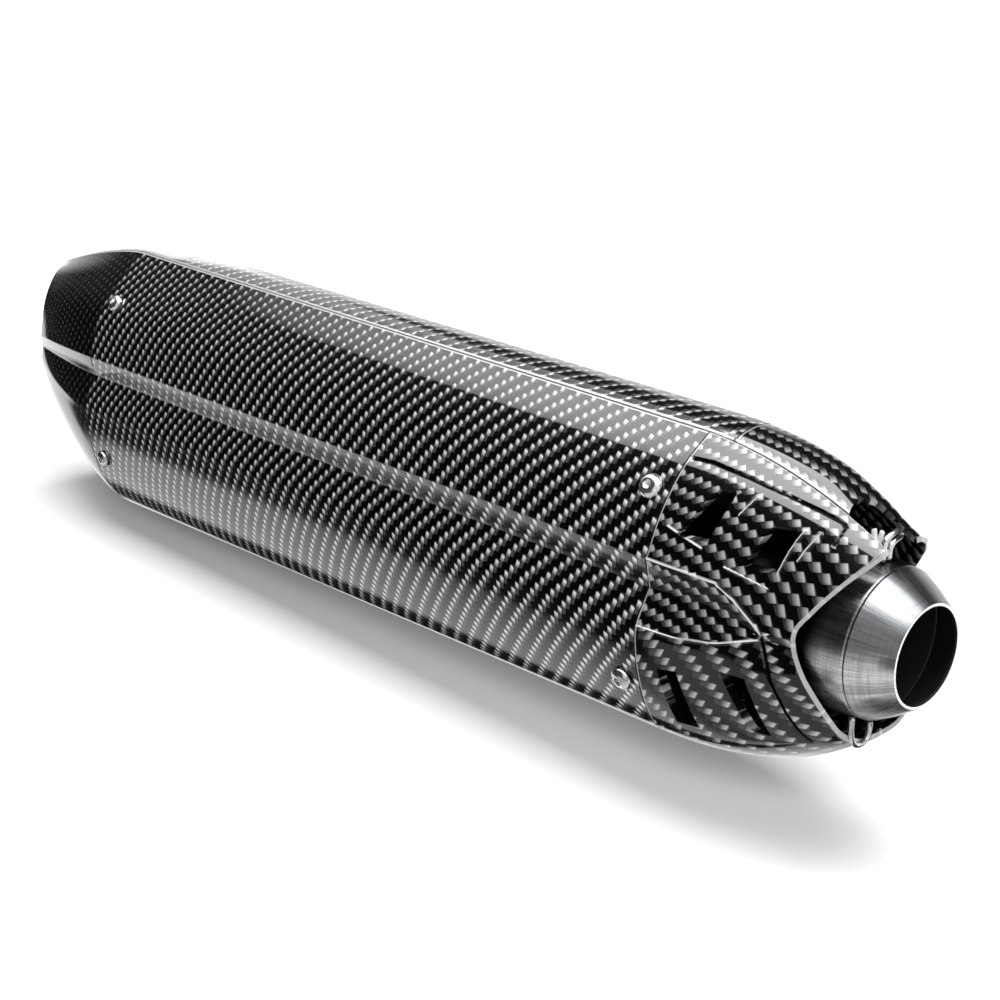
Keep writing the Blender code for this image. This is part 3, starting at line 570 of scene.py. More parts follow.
def prism(name, outline, low, high):
    """Straight solid: an (x, z) outline reaching along Y."""
    count = len(outline)
    vertices = [(u, side, v) for side in (low, high) for u, v in outline]
    faces = [tuple(range(count)), tuple(range(2 * count - 1, count - 1, -1))]
    for i in range(count):
        k = (i + 1) % count
        faces.append((i, i + count, k + count, k))
    item = mesh_piece(name, vertices, faces, None)
    face_outwards(item)
    return item


def face_outwards(item):
    work = bmesh.new()
    work.from_mesh(item.data)
    bmesh.ops.recalc_face_normals(work, faces=work.faces)
    work.to_mesh(item.data)
    work.free()


def open_outline(piece, outline, axis, side, depth=0.0):
    """Cut a convex outline out of a sheet on one side and turn its rim inwards by the depth."""
    flat = (0, 2) if axis == "Y" else (0, 1)
    work = bmesh.new()
    work.from_mesh(piece.data)
    margin = 2.0 * MM
    lows = [min(p[a] for p in outline) - margin for a in (0, 1)]
    highs = [max(p[a] for p in outline) + margin for a in (0, 1)]

    def close(point):
        inside = all(lows[a] < point[flat[a]] < highs[a] for a in (0, 1))
        return inside and (point.y * side > 0.0 if axis == "Y" else point.z > 0.0)

    score(work, outline, flat, close)
    middle = [sum(p[a] for p in outline) / len(outline) for a in (0, 1)]
    inner = []
    for face in work.faces:
        point = face.calc_center_median()
        if close(point) and inside_outline((point[flat[0]], point[flat[1]]), outline, middle):
            inner.append(face)
    rim = [e for e in {e for f in inner for e in f.edges} if sum(g in inner for g in e.link_faces) == 1]
    rim.sort(key=lambda e: e.index)
    bmesh.ops.delete(work, geom=inner, context="FACES")
    if depth:
        turn_in(work, [e for e in rim if e.is_valid and e.link_faces], side * depth)
    work.to_mesh(piece.data)
    work.free()
    point_out(piece)


def score(work, outline, flat, close):
    """Split the faces close to the outline along each of its lines."""
    for first, second in zip(outline, outline[1:] + outline[:1]):
        faces = [f for f in work.faces if close(f.calc_center_median())]
        edges = {e for f in faces for e in f.edges}
        verts = {v for f in faces for v in f.verts}
        place = [0.0, 0.0, 0.0]
        normal = [0.0, 0.0, 0.0]
        place[flat[0]], place[flat[1]] = first
        normal[flat[0]] = second[1] - first[1]
        normal[flat[1]] = first[0] - second[0]
        bmesh.ops.bisect_plane(work, geom=faces + list(edges) + list(verts), dist=1e-7,
                               plane_co=place, plane_no=normal)
    work.edges.index_update()


def turn_in(work, rim, depth):
    """Give an opening a wall that reaches inwards."""
    grown = bmesh.ops.extrude_edge_only(work, edges=rim)
    for vertex in (g for g in grown["geom"] if isinstance(g, bmesh.types.BMVert)):
        vertex.co.y -= depth
    bmesh.ops.recalc_face_normals(work, faces=work.faces)


def inside_outline(point, outline, middle):
    """Whether a point lies on the middle's side of every line of a convex outline."""
    for first, second in zip(outline, outline[1:] + outline[:1]):
        if turn(first, second, point) * turn(first, second, middle) < 0.0:
            return False
    return True


def turn(first, second, point):
    return ((second[0] - first[0]) * (point[1] - first[1])
            - (second[1] - first[1]) * (point[0] - first[0]))


def even(count):
    return [i / (count - 1) for i in range(count)]


def along_x(x=0.0):
    """Lathe placing: profile heights run along +X."""
    return Matrix.Translation((x, 0.0, 0.0)) @ Matrix.Rotation(math.pi / 2, 4, "Y")


def along_y(x, y, z):
    """Lathe placing: profile heights run along +Y."""
    return Matrix.Translation((x, y, z)) @ Matrix.Rotation(-math.pi / 2, 4, "X")


def aligned(place, direction):
    turn = direction.to_track_quat("Z", "Y").to_matrix().to_4x4()
    return Matrix.Translation(place) @ turn


def lathe(name, profile, placing, material, body="muffler", steps=96, bore=None):
    """Closed body of revolution about local Z from a closed (radius, height) profile."""
    vertices = []
    rings = []
    for radius, height in profile:
        start = len(vertices)
        if radius < 1e-7:
            rings.append([start] * steps)
            vertices.append(placing @ Vector((0.0, 0.0, height)))
            continue
        rings.append(range(start, start + steps))
        for i in range(steps):
            a = 2 * math.pi * i / steps
            vertices.append(placing @ Vector((radius * math.cos(a), radius * math.sin(a), height)))
    faces = []
    for first, second in zip(rings, rings[1:] + rings[:1]):
        for i in range(steps):
            k = (i + 1) % steps
            corners = list(dict.fromkeys((first[i], first[k], second[k], second[i])))
            if len(corners) > 2:
                faces.append(tuple(corners))
    piece = mesh_piece(name, vertices, faces, material, body)
    face_outwards(piece)
    if bore is not None:
        line_bore(piece, placing, bore)
    return piece


def line_bore(piece, placing, bore):
    """Give the faces that look towards the axis, and the hidden ends, the bore's material."""
    piece.data.materials.append(bore)
    axis = placing.to_3x3() @ Vector((0.0, 0.0, 1.0))
    for face in piece.data.polygons:
        radial = face.center - placing.translation
        radial -= axis * radial.dot(axis)
        inner_end = abs(face.normal.dot(axis)) > 0.8 and face.center.x < TIP_FRONT_X - 1.0 * MM
        if inner_end or face.normal.dot(radial.normalized()) < -0.4:
            face.material_index = 1


def wire(name, points, radius, material):
    """Smooth round wire through the points."""
    path = smooth_path(points, 8)
    curve = bpy.data.curves.new(name + "_line", "CURVE")
    curve.dimensions = "3D"
    curve.bevel_depth = radius
    curve.bevel_resolution = 6
    curve.use_fill_caps = True
    spline = curve.splines.new("POLY")
    spline.points.add(len(path) - 1)
    for point, place in zip(spline.points, path):
        point.co = (*place, 1.0)
    holder = bpy.data.objects.new(name + "_line", curve)
    bpy.context.scene.collection.objects.link(holder)
    mesh = final_mesh(holder)
    drop([holder])
    work = bmesh.new()
    work.from_mesh(mesh)
    bmesh.ops.remove_doubles(work, verts=work.verts, dist=0.00001)
    work.to_mesh(mesh)
    work.free()
    mesh.materials.clear()
    mesh.shade_smooth()
    piece = link_piece(name, mesh)
    attach(piece, material, "muffler")
    face_outwards(piece)
    return piece


def smooth_path(points, count):
    """Catmull-Rom path through 3-D points."""
    places = [Vector(p) for p in points]
    padded = [2 * places[0] - places[1]] + places + [2 * places[-1] - places[-2]]
    path = []
    for i in range(len(places) - 1):
        p = padded[i:i + 4]
        for k in range(count):
            t = k / count
            path.append(Vector([spline_value(p[0][a], p[1][a], p[2][a], p[3][a], t) for a in range(3)]))
    path.append(places[-1])
    return path


# ---- node helpers ----
class Net:
    """Short names for building one material's or world's nodes."""

    def __init__(self, owner):
        owner.use_nodes = True
        self.tree = owner.node_tree
        self.tree.nodes.clear()

    def add(self, kind, **settings):
        node = self.tree.nodes.new(kind)
        for key, value in settings.items():
            setattr(node, key, value)
        return node

    def feed(self, socket, value):
        if isinstance(value, bpy.types.NodeSocket):
            self.tree.links.new(value, socket)
        else:
            socket.default_value = value

    def math(self, operation, first, second=0.0, third=0.0):
        node = self.add("ShaderNodeMath", operation=operation)
        for socket, value in zip(node.inputs, (first, second, third)):
            self.feed(socket, value)
        return node.outputs[0]

    def times(self, first, second):
        return self.math("MULTIPLY", first, second)

    def plus(self, first, second):
        return self.math("ADD", first, second)

    def minus(self, first, second):
        return self.math("SUBTRACT", first, second)

    def ramp(self, value, low, high, smooth_ends=True):
        """0 below low, 1 above high; low above high turns it round."""
        node = self.add("ShaderNodeMapRange")
        node.interpolation_type = "SMOOTHSTEP" if smooth_ends else "LINEAR"
        self.feed(node.inputs["Value"], value)
        flipped = low > high
        self.feed(node.inputs["From Min"], min(low, high))
        self.feed(node.inputs["From Max"], max(low, high))
        self.feed(node.inputs["To Min"], 1.0 if flipped else 0.0)
        self.feed(node.inputs["To Max"], 0.0 if flipped else 1.0)
        return node.outputs[0]

    def window(self, value, start, full, fade, end):
        """Rises from 0 at start to 1 at full, and falls from 1 at fade to 0 at end."""
        return self.times(self.ramp(value, start, full), self.ramp(value, end, fade))

    def blend(self, share, first, second):
        node = self.add("ShaderNodeMix", data_type="FLOAT")
        self.feed(node.inputs[0], share)
        self.feed(node.inputs[2], first)
        self.feed(node.inputs[3], second)
        return node.outputs[0]

    def tint(self, share, first, second):
        node = self.add("ShaderNodeMix", data_type="RGBA")
        self.feed(node.inputs[0], share)
        self.feed(node.inputs[6], first)
        self.feed(node.inputs[7], second)
        return node.outputs[2]

    def grain(self, vector, scale, detail=2.0, rough=0.5):
        node = self.add("ShaderNodeTexNoise")
        self.feed(node.inputs["Vector"], vector)
        node.inputs["Scale"].default_value = scale
        node.inputs["Detail"].default_value = detail
        node.inputs["Roughness"].default_value = rough
        return node.outputs[0]

    def split(self, vector):
        node = self.add("ShaderNodeSeparateXYZ")
        self.feed(node.inputs[0], vector)
        return node.outputs

    def join(self, x=0.0, y=0.0, z=0.0):
        node = self.add("ShaderNodeCombineXYZ")
        for socket, value in zip(node.inputs, (x, y, z)):
            self.feed(socket, value)
        return node.outputs[0]

    def vector(self, operation, first, second=(0.0, 0.0, 0.0), output=0):
        node = self.add("ShaderNodeVectorMath", operation=operation)
        self.feed(node.inputs[0], first)
        self.feed(node.inputs[1], second)
        return node.outputs[output]

    def layer(self, name):
        return self.add("ShaderNodeUVMap", uv_map=name).outputs[0]

    def stretch(self, vector, sizes):
        node = self.add("ShaderNodeMapping")
        self.feed(node.inputs["Vector"], vector)
        node.inputs["Scale"].default_value = sizes
        return node.outputs[0]

    def place(self):
        return self.add("ShaderNodeTexCoord").outputs["Object"]

    def bump(self, height, strength, distance):
        node = self.add("ShaderNodeBump")
        node.inputs["Strength"].default_value = strength
        node.inputs["Distance"].default_value = distance
        self.feed(node.inputs["Height"], height)
        return node.outputs[0]

    def shader(self, **inputs):
        node = self.add("ShaderNodeBsdfPrincipled")
        for key, value in inputs.items():
            self.feed(node.inputs[key.replace("_", " ")], value)
        output = self.add("ShaderNodeOutputMaterial")
        self.tree.links.new(node.outputs[0], output.inputs[0])
        return node


def new_net(name):
    material = bpy.data.materials.new(name)
    return material, Net(material)


def grey(value, blue=1.0):
    return (value, value * (1.0 + 0.5 * (blue - 1.0)), value * blue, 1.0)


# ---- materials ----
def crown(net, value):
    """1 in the middle of a tow, 0 at its edges."""
    offset = net.math("MULTIPLY_ADD", value, 2.0, -1.0)
    return net.minus(1.0, net.math("POWER", net.math("ABSOLUTE", offset), 2.5))


def twill(net, cloth, lean, sway):
    """Where a point lies in the pattern: warp on top or not, then shares along and across the tows."""
    warp, weft, _ = net.split(cloth)
    wander = net.times(net.minus(net.grain(net.place(), 45.0, 1.0), 0.5), sway)
    u = net.plus(warp, wander)
    v = net.plus(weft, wander)
    column = net.math("FLOOR", u)
    row = net.math("FLOOR", v)
    in_column = net.minus(u, column)
    in_row = net.minus(v, row)
    step = net.math("FLOORED_MODULO", net.math("MULTIPLY_ADD", row, lean, column), 4.0)
    over = net.math("LESS_THAN", step, 1.5)
    start = step if lean > 0 else net.minus(1.0, step)
    along = net.times(net.plus(start, in_row), 0.5)
    under_along = net.times(net.plus(net.minus(step, 2.0), in_column), 0.5)
    return over, along, under_along, in_column, in_row


def painted_glints(net, over, along, in_column, reach, fade, fill):
    """Painted glint: light painted into the colour at the head of each warp float, dimmer where the
    surface faces up.
    """
    across = crown(net, in_column)
    slope = net.math("MULTIPLY_ADD", in_column, -0.14, along)
    rise = net.ramp(slope, -0.02, 0.10)
    left = net.math("DIVIDE", net.minus(reach, slope), net.minus(reach, 0.08))
    fall = net.math("POWER", net.ramp(left, 0.0, 1.0, False), fade)
    head = net.times(net.times(rise, fall), net.math("POWER", across, fill))
    glint = net.math("MAXIMUM", net.times(head, over), net.times(net.times(over, across), 0.05))
    facing_up = net.split(net.add("ShaderNodeNewGeometry").outputs["Normal"])[2]
    calm = net.math("MULTIPLY_ADD", net.ramp(facing_up, 0.45, 0.90), -0.35, 1.0)
    return net.times(glint, calm)


def carbon(name, lean, bright=0.80, sway=0.3, length=0.50, flare_length=0.50, fade=1.0, fill=0.40):
    """Clear-coated 2x2 twill with painted glints; lean +1 or -1 sets which way the diagonal rows run."""
    material, net = new_net(name)
    cloth = net.layer("weave")
    flare, shelf_row, _ = net.split(net.layer("panel"))
    over, along, under_along, in_column, in_row = twill(net, cloth, lean, sway)
    reach = net.blend(flare, length, flare_length)
    glint = painted_glints(net, over, along, in_column, reach, fade, fill)
    fibres_over = net.grain(net.stretch(cloth, (20.0, 1.2, 1.0)), 1.0, 1.0)
    fibres_under = net.grain(net.stretch(cloth, (1.2, 20.0, 1.0)), 1.0, 1.0)
    fibres = net.blend(over, fibres_under, fibres_over)
    glint = net.times(glint, net.blend(fibres, 0.65, 1.25))
    base = net.tint(net.times(fibres, over), grey(0.0012, 1.2), grey(0.006, 1.15))
    # Painted glint: the tows' highlights are painted into the colour, bright sets how strong.
    colour = net.tint(glint, base, grey(bright, 1.04))
    relief_height = net.split(net.layer("relief_and_painted_light"))[0]
    # Painted highlight on raised ridges, the seam lip and the joint rim; painted shade in the grooves and
    # a dark joint line, both with less coat.
    edge = net.ramp(relief_height, 0.30, 0.52)
    groove = net.ramp(relief_height, -0.25, -0.55)
    colour = net.tint(net.times(edge, 0.80), colour, grey(0.55, 1.03))
    colour = net.tint(groove, colour, grey(0.001))
    height_over = net.times(crown(net, along), crown(net, in_column))
    height_under = net.times(crown(net, under_along), crown(net, in_row))
    height = net.blend(over, height_under, height_over)
    drift = net.grain(net.place(), 26.0, 2.0)
    scuff = net.grain(net.stretch(net.place(), (60.0, 400.0, 400.0)), 1.0, 3.0)
    net.shader(Base_Color=colour, Roughness=net.blend(fibres, 0.52, 0.40), Specular_IOR_Level=0.04,
               Metallic=net.times(net.ramp(glint, 0.0, 0.3), 0.35),
               Normal=net.bump(height, 0.35, 0.10 * MM), Coat_IOR=1.5,
               Coat_Weight=net.math("MULTIPLY_ADD", groove, -0.9, 1.0),
               Coat_Roughness=net.blend(scuff, 0.012, 0.045),
               Coat_Normal=leaning(net, shelf_row, drift))
    return material


SHELF_LEAN = 0.26


def leaning(net, row, drift):
    """Coat normal: a little uneven, and turned down where the crease shelf is undercut."""
    shelf = net.window(row, 0.10, 0.22, 0.78, 0.90)
    lean = net.join(z=net.times(shelf, -SHELF_LEAN))
    return net.vector("NORMALIZE", net.vector("ADD", net.bump(drift, 0.06, 0.4 * MM), lean))


def brushed(name, colour, rough, depth, around, metallic=0.95, with_marks_and_painted_shade=False):
    """Turned and brushed metal, its grain running along the muffler's axis."""
    material, net = new_net(name)
    place = net.place()
    along, side, up = net.split(place)
    outward = net.vector("NORMALIZE", net.join(0.0, side, up))
    wrapped = net.vector("ADD", outward, net.join(along))
    fine = net.grain(net.stretch(wrapped, (60.0, around, around)), 1.0, 3.0, 0.6)
    broad = net.grain(net.stretch(wrapped, (12.0, 0.10 * around, 0.10 * around)), 1.0, 2.0)
    stain = net.grain(place, 45.0, 3.0)
    streak = net.ramp(net.plus(net.times(fine, 0.5), net.times(broad, 0.5)), 0.32, 0.68)
    shade = net.tint(streak, grey(colour * 0.45), grey(min(colour * 1.25, 1.0), 1.02))
    shade = net.tint(net.times(net.ramp(stain, 0.5, 0.8), 0.3), shade, grey(colour * 0.5, 1.05))
    # Painted shade on the top and a painted shadow towards the caps, with dark patches and turning rings.
    if with_marks_and_painted_shade:
        shade = marks_and_painted_shade(net, shade, along, outward, wrapped)
    roughness = net.plus(net.blend(fine, rough * 0.7, rough * 1.3), net.times(stain, 0.04))
    net.shader(Base_Color=shade, Metallic=metallic, Roughness=roughness,
               Normal=net.bump(fine, depth, 0.03 * MM))
    return material


def marks_and_painted_shade(net, shade, along, outward, wrapped):
    """Painted shade on the top, dark patches, fine turning rings and a painted shadow towards the caps."""
    # Painted shade: the upward-facing side is darkened.
    top = net.times(net.ramp(net.split(outward)[2], -0.10, 0.42), 0.82)
    patch = net.ramp(net.grain(net.stretch(wrapped, (34.0, 1.7, 1.7)), 1.0, 3.0), 0.46, 0.62)
    rings = net.ramp(net.grain(net.stretch(wrapped, (2500.0, 1.5, 1.5)), 1.0, 2.0), 0.4, 0.7)
    shade = net.tint(top, shade, grey(0.05, 1.1))
    shade = net.tint(net.times(patch, 0.75), shade, grey(0.03, 1.1))
    shade = net.tint(net.times(rings, 0.35), shade, grey(0.10, 1.1))
    # Painted shadow: the pipe goes nearly black towards the caps.
    return net.tint(net.ramp(along, -21.5 * MM, -29.0 * MM), shade, grey(0.006))


def worn(name, colour, rough, metallic, scale, depth, blue=1.0):
    """Satin surface with mottling, fine grain and scuffs."""
    material, net = new_net(name)
    place = net.place()
    mottle = net.grain(place, scale, 4.0)
    grain = net.grain(place, scale * 14.0, 2.0)
    scuff = net.ramp(net.grain(net.stretch(place, (40.0, 500.0, 500.0)), 1.0, 4.0), 0.58, 0.72)
    shade = net.tint(mottle, grey(colour * 0.7, blue), grey(min(colour * 1.25, 1.0), blue))
    shade = net.tint(net.times(scuff, 0.3), shade, grey(min(colour * 1.8, 0.9), blue))
    roughness = net.plus(net.blend(mottle, rough * 0.8, rough * 1.15), net.times(scuff, -0.06))
    net.shader(Base_Color=shade, Metallic=metallic, Roughness=roughness,
               Normal=net.bump(grain, depth, 0.08 * MM))
    return material


def fibrous(name, warm, scale):
    """Matted fibre."""
    material, net = new_net(name)
    place = net.place()
    strands = net.grain(net.stretch(place, (scale, scale * 6.0, scale * 6.0)), 1.0, 5.0, 0.7)
    clumps = net.grain(place, scale * 0.4, 3.0)
    shade = net.tint(strands, tuple(0.45 * c for c in warm[:3]) + (1.0,), warm)
    net.shader(Base_Color=shade, Roughness=net.blend(clumps, 0.8, 1.0),
               Normal=net.bump(strands, 0.8, 0.6 * MM))
    return material


# Every carbon finish paints its glints into the colour; the outlet caps get only faint painted glints.
CARBON_BODY = carbon("carbon_body", 1.0)
CARBON_FAR = carbon("carbon_far", -1.0)
CARBON_CAP = carbon("carbon_cap", 1.0, 0.42, 0.5, 0.74, 0.56, 1.15, 0.25)
CARBON_OUTLET = carbon("carbon_outlet", 1.0, bright=0.07)
STEEL = brushed("brushed_steel", 0.60, 0.30, 0.20, 70.0)
# The inlet steel gets the painted top shade and the painted shadow towards the caps.
INLET_STEEL = brushed("inlet_steel", 0.80, 0.26, 0.15, 45.0, 0.95, True)
POLISHED = brushed("polished_steel", 0.74, 0.13, 0.10, 30.0)
# Painted highlight: a near-white, hardly metallic finish for the tip's front face and the top tab.
PAINTED_HIGHLIGHT_STEEL = worn("painted_highlight_steel", 0.80, 0.35, 0.2, 150.0, 0.2)
SOOT = worn("sooted_bore", 0.006, 0.6, 0.0, 120.0, 0.3)
DARK_STEEL = worn("dark_steel", 0.09, 0.45, 0.9, 120.0, 0.3)
ALUMINIUM = worn("satin_aluminium", 0.55, 0.36, 1.0, 150.0, 0.25)
RUBBER = worn("rubber", 0.02, 0.75, 0.0, 300.0, 0.5)
GLASS_WOOL = fibrous("glass_wool", (0.70, 0.62, 0.40, 1.0), 300.0)
STEEL_WOOL = fibrous("steel_wool", (0.34, 0.34, 0.36, 1.0), 600.0)

FINISH = {
    "brushed_steel": STEEL, "polished_steel": POLISHED, "dark_steel": DARK_STEEL,
    "aluminium": ALUMINIUM, "rubber": RUBBER, "glass_wool": GLASS_WOOL, "steel_wool": STEEL_WOOL,
    "carbon_black": CARBON_BODY,
}


# Painted shade: the parts seen through the slots get a near-black finish instead of their own.
SHADED = worn("painted_shade_steel", 0.012, 0.5, 0.6, 120.0, 0.3)
BEHIND_SLOTS = ("inner_can", "inlet_end_plate", "front_support_frame")


def finish_frame_nodes():
    """Give every CAD node that stays in view its own finish."""
    slots = {row["node"]: row["material_slot"] for row in frame["record"]["subparts"]}
    for name, node in NODES.items():
        node.data.materials.clear()
        node.data.materials.append(SHADED if name in BEHIND_SLOTS else FINISH[slots[name]])


# ---- relief of the inlet cap ----
# Paths on the near side of the inlet cap as (x, height).
ENGRAVED_LINE = in_mm([
    (-88, 52.8), (-79, 52.8), (-64, 50.8), (-49, 47.9), (-36, 44.8), (-28, 42.5), (-26.2, 41.2),
    (-26, 38.5), (-26.4, 36.2),
])
TIP_GROOVE = in_mm([
    (-42.2, 3), (-39.5, -2.2), (-37.5, -7), (-36, -11.6), (-34, -17), (-32, -22.6), (-29.2, -29),
    (-26.4, -33.5),
])
LOUVRES = in_mm([
    [(-64, 46.1), (-70, 33.8)],
    [(-57, 45.9), (-60, 40)],
    [(-37, 39.1), (-40.4, 25)],
    [(-32, 38.8), (-35, 30.3)],
    [(-84.5, 31.8), (-68.5, 27.7)],
    [(-58.5, 23.7), (-42.5, 19.6)],
])


WEDGE_RIMS = [
    [(x, z) for x, y, z in CREASE_EDGE_TRACK[:6]],
    [(x, z) for x, y, z in CREASE_FLARE_TRACK[:5]],
]


def path_distance(path, x, z):
    """Distance in the side view from a point to a path."""
    best = 1.0
    for (x0, z0), (x1, z1) in zip(path, path[1:]):
        dx, dz = x1 - x0, z1 - z0
        t = max(0.0, min(1.0, ((x - x0) * dx + (z - z0) * dz) / (dx * dx + dz * dz)))
        best = min(best, math.hypot(x - x0 - dx * t, z - z0 - dz * t))
    return best


def notch(distance, width):
    """Rounded bump: 1 on the path, 0 at the given width."""
    if distance >= width:
        return 0.0
    return 0.5 + 0.5 * math.cos(math.pi * distance / width)


def cap_relief(place):
    """Height of the inlet cap's surface detail at a point."""
    x, z = place.x, place.z
    depth = -0.7 * MM * notch(path_distance(ENGRAVED_LINE, x, z), 0.55 * MM)
    depth -= 1.2 * MM * notch(path_distance(TIP_GROOVE, x, z), 0.9 * MM)
    for path in LOUVRES:
        depth += 0.60 * MM * notch(path_distance(path, x, z), 0.7 * MM)
    for path in WEDGE_RIMS:
        depth += 0.60 * MM * notch(path_distance(path, x, z), 0.8 * MM)
    depth += 0.42 * MM * notch(abs(x - glide(MOUTH_EDGE, z)[0]), 0.6 * MM)
    return depth


# ---- covers and caps ----
UPPER_SLOTS = in_mm([
    [(-71, 46.2), (-64, 46.2), (-67, 29.9), (-80, 29.5)],
    [(-47, 39), (-37, 39.1), (-40.4, 25), (-52, 25)],
])
LOWER_SLOTS = in_mm([
    [(-80, -19.1), (-71.5, -17.4), (-66, -40), (-76, -41)],
    [(-54, -12.1), (-45, -12.4), (-38.5, -34.3), (-45.5, -33.8)],
])
SPRING_NOTCH = in_mm([
    (0, -12), (-27.5, -12), (-29.6, -7), (-30.2, -3), (-29.4, 1), (-27, 4), (-23, 5.6), (0, 5.6),
])
EDGE_ROUND = 0.35 * MM
SEAM_ROUND = 0.7 * MM
SLOT_DEPTH = 4.0 * MM


def build_covers():
    ends = [1.0 - (1.0 - i / 44) ** 1.4 for i in range(45)]
    covers = (
        ("near_cover_shell", near_profile, NEAR_JOINT_X, "near_side_cover", even(70), CARBON_BODY,
         EDGE_ROUND),
        ("far_cover_shell", far_profile, FAR_JOINT_X, "far_side_cover", even(70), CARBON_FAR,
         SEAM_ROUND),
        ("outlet_cap_near_shell", near_profile, OUTLET_NEAR_X, "outlet_cap_near", ends, CARBON_OUTLET,
         SEAM_ROUND),
        ("outlet_cap_far_shell", far_profile, OUTLET_FAR_X, "outlet_cap_far", ends, CARBON_OUTLET,
         SEAM_ROUND),
    )
    for name, profile, front, node, shares, material, edge in covers:
        rear = OUTLET_END_X if shares is ends else low_x(node)
        piece = sheet(name, profile, fixed(front), fixed(rear), shares, material, body_cloth)
        thicken(piece, COVER_WALL)
        dress(piece, node, edge, segments=3)


def build_inlet_caps():
    for side, name, profile, start, rows in (
            (-1.0, "inlet_cap_near", near_profile, CAP_NEAR_X, 150),
            (1.0, "inlet_cap_far", far_profile, CAP_FAR_X, 110)):
        piece = sheet(name + "_shell", profile, fixed(start), mouth_edge, even(rows), CARBON_CAP,
                      cap_cloth, cap_relief, CAP_STEPS)
        upper = UPPER_SLOTS if side < 0.0 else UPPER_SLOTS[:1]
        for corners in upper + LOWER_SLOTS:
            open_outline(piece, corners, "Y", side, SLOT_DEPTH)
        if side > 0.0:
            open_outline(piece, SPRING_NOTCH, "Z", 1.0)
        thicken(piece, COVER_WALL, False)
        dress(piece, name, EDGE_ROUND, 50.0)


# ---- steel inlet ----
def turned(node, profile, placing, material, steps=64, width=0.2 * MM, angle=30.0, bore=None):
    """Turned body with softened edges, in the node's place."""
    piece = lathe(node + "_body", profile, placing, material, steps=steps, bore=bore)
    dress(piece, node, width, angle)


def tube_profile(inner, outer, low, high):
    return [(outer, low), (outer, high), (inner, high), (inner, low)]


def build_inlet():
    tip_bore = TIP_RADIUS - TUBE_WALL
    weld_bore = WELD_RADIUS - TUBE_WALL
    middle = 0.5 * (TIP_RADIUS + WELD_RADIUS) + 0.2 * MM
    cone = lathe("inlet_cone", [
        (tip_bore, TIP_FRONT_X), (TIP_RADIUS - 0.5 * MM, TIP_FRONT_X),
        (TIP_RADIUS, TIP_FRONT_X - 0.6 * MM), (middle, 0.5 * WELD_X),
        (WELD_RADIUS - 0.3 * MM, WELD_X + 0.4 * MM), (WELD_RADIUS - 0.6 * MM, WELD_X),
        (weld_bore, WELD_X), (tip_bore, TIP_FRONT_X - 1.0 * MM),
    ], along_x(), INLET_STEEL, steps=160, bore=SOOT)
    # Painted highlight on the tip's front face.
    cone.data.materials.append(PAINTED_HIGHLIGHT_STEEL)
    for face in cone.data.polygons:
        if face.normal.x > 0.75 and face.center.x > TIP_FRONT_X - 0.7 * MM:
            face.material_index = 2
    dress(cone, "inlet_reducer", 0.15 * MM, 30.0)
    start = high_x("inlet_pipe")
    turned("inlet_pipe", [
        (WELD_RADIUS - 0.6 * MM, start), (WELD_RADIUS - 0.1 * MM, start - 0.6 * MM),
        (WELD_RADIUS + 0.8 * MM, start - 8.0 * MM), in_mm((28.8, -30.0)), in_mm((29.4, -60.0)),
        (PIPE_END_RADIUS, PIPE_END_X), (PIPE_END_RADIUS - TUBE_WALL, PIPE_END_X),
        in_mm((27.3, -30.0)), (weld_bore, start),
    ], along_x(), INLET_STEEL, 160, 0.15 * MM, bore=SOOT)


# Spring hooks: wire name, node, x, then the wire's path as (y, z).
HOOKS = [
    ("top_hook_wire", "top_spring_hook", -19.4 * MM, in_mm([
        (-1.6, 28.7), (-1.2, 34.2), (1.2, 36.6), (6, 37.8), (8, 37.4), (8.4, 36.2), (7.6, 35.2),
        (4.2, 34.2), (2.2, 32.5), (1.8, 28.6),
    ])),
    ("bottom_hook_wire", "bottom_spring_hook", -15.8 * MM, in_mm([
        (-16.8, -22.6), (-16.3, -29.8), (-14, -33.7), (-10.2, -34.8), (-7, -33.4), (-6, -30),
        (-6.2, -27.6),
    ])),
]
TAB_OUTLINE = in_mm([
    (-24.6, 29.2), (-25.3, 38.1), (-24.1, 38.6), (-23.1, 34.2), (-21.9, 38.6), (-20.8, 38),
    (-22.2, 28.8),
])
HOOK_RADIUS = 1.1 * MM
TAB_HALF = 0.8 * MM


def build_hooks():
    for name, node, x, path in HOOKS:
        hook = wire(name, [(x, y, z) for y, z in path], HOOK_RADIUS, POLISHED)
        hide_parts(node)
    tab = prism("top_tab", TAB_OUTLINE, -TAB_HALF, TAB_HALF)
    # Painted highlight: the tab is near white.
    attach(tab, PAINTED_HIGHLIGHT_STEEL, "muffler")
    dress(tab, "top_spring_tab", 0.25 * MM)


# ---- screws ----
SCREW_SITES = {
    "inlet_upper": in_mm((-98, 41.8)), "inlet_lower": in_mm((-98, -29.6)),
    "outlet_upper": in_mm((-508, 51.5)), "outlet_lower": in_mm((-508, -35.9)),
}
DOME_END = math.radians(80.0)


def surface_at(x, height):
    """Point and outward normal on the near side at x and height."""
    points = near_profile(x)
    for (y0, z0), (y1, z1) in zip(points, points[1:]):
        if z1 <= height <= z0:
            t = (height - z0) / (z1 - z0)
            normal = Vector((0.0, z1 - z0, y0 - y1))
            normal.normalize()
            if normal.y > 0.0:
                normal.negate()
            return Vector((x, y0 + (y1 - y0) * t, height)), normal
    raise ValueError("no surface at this height")


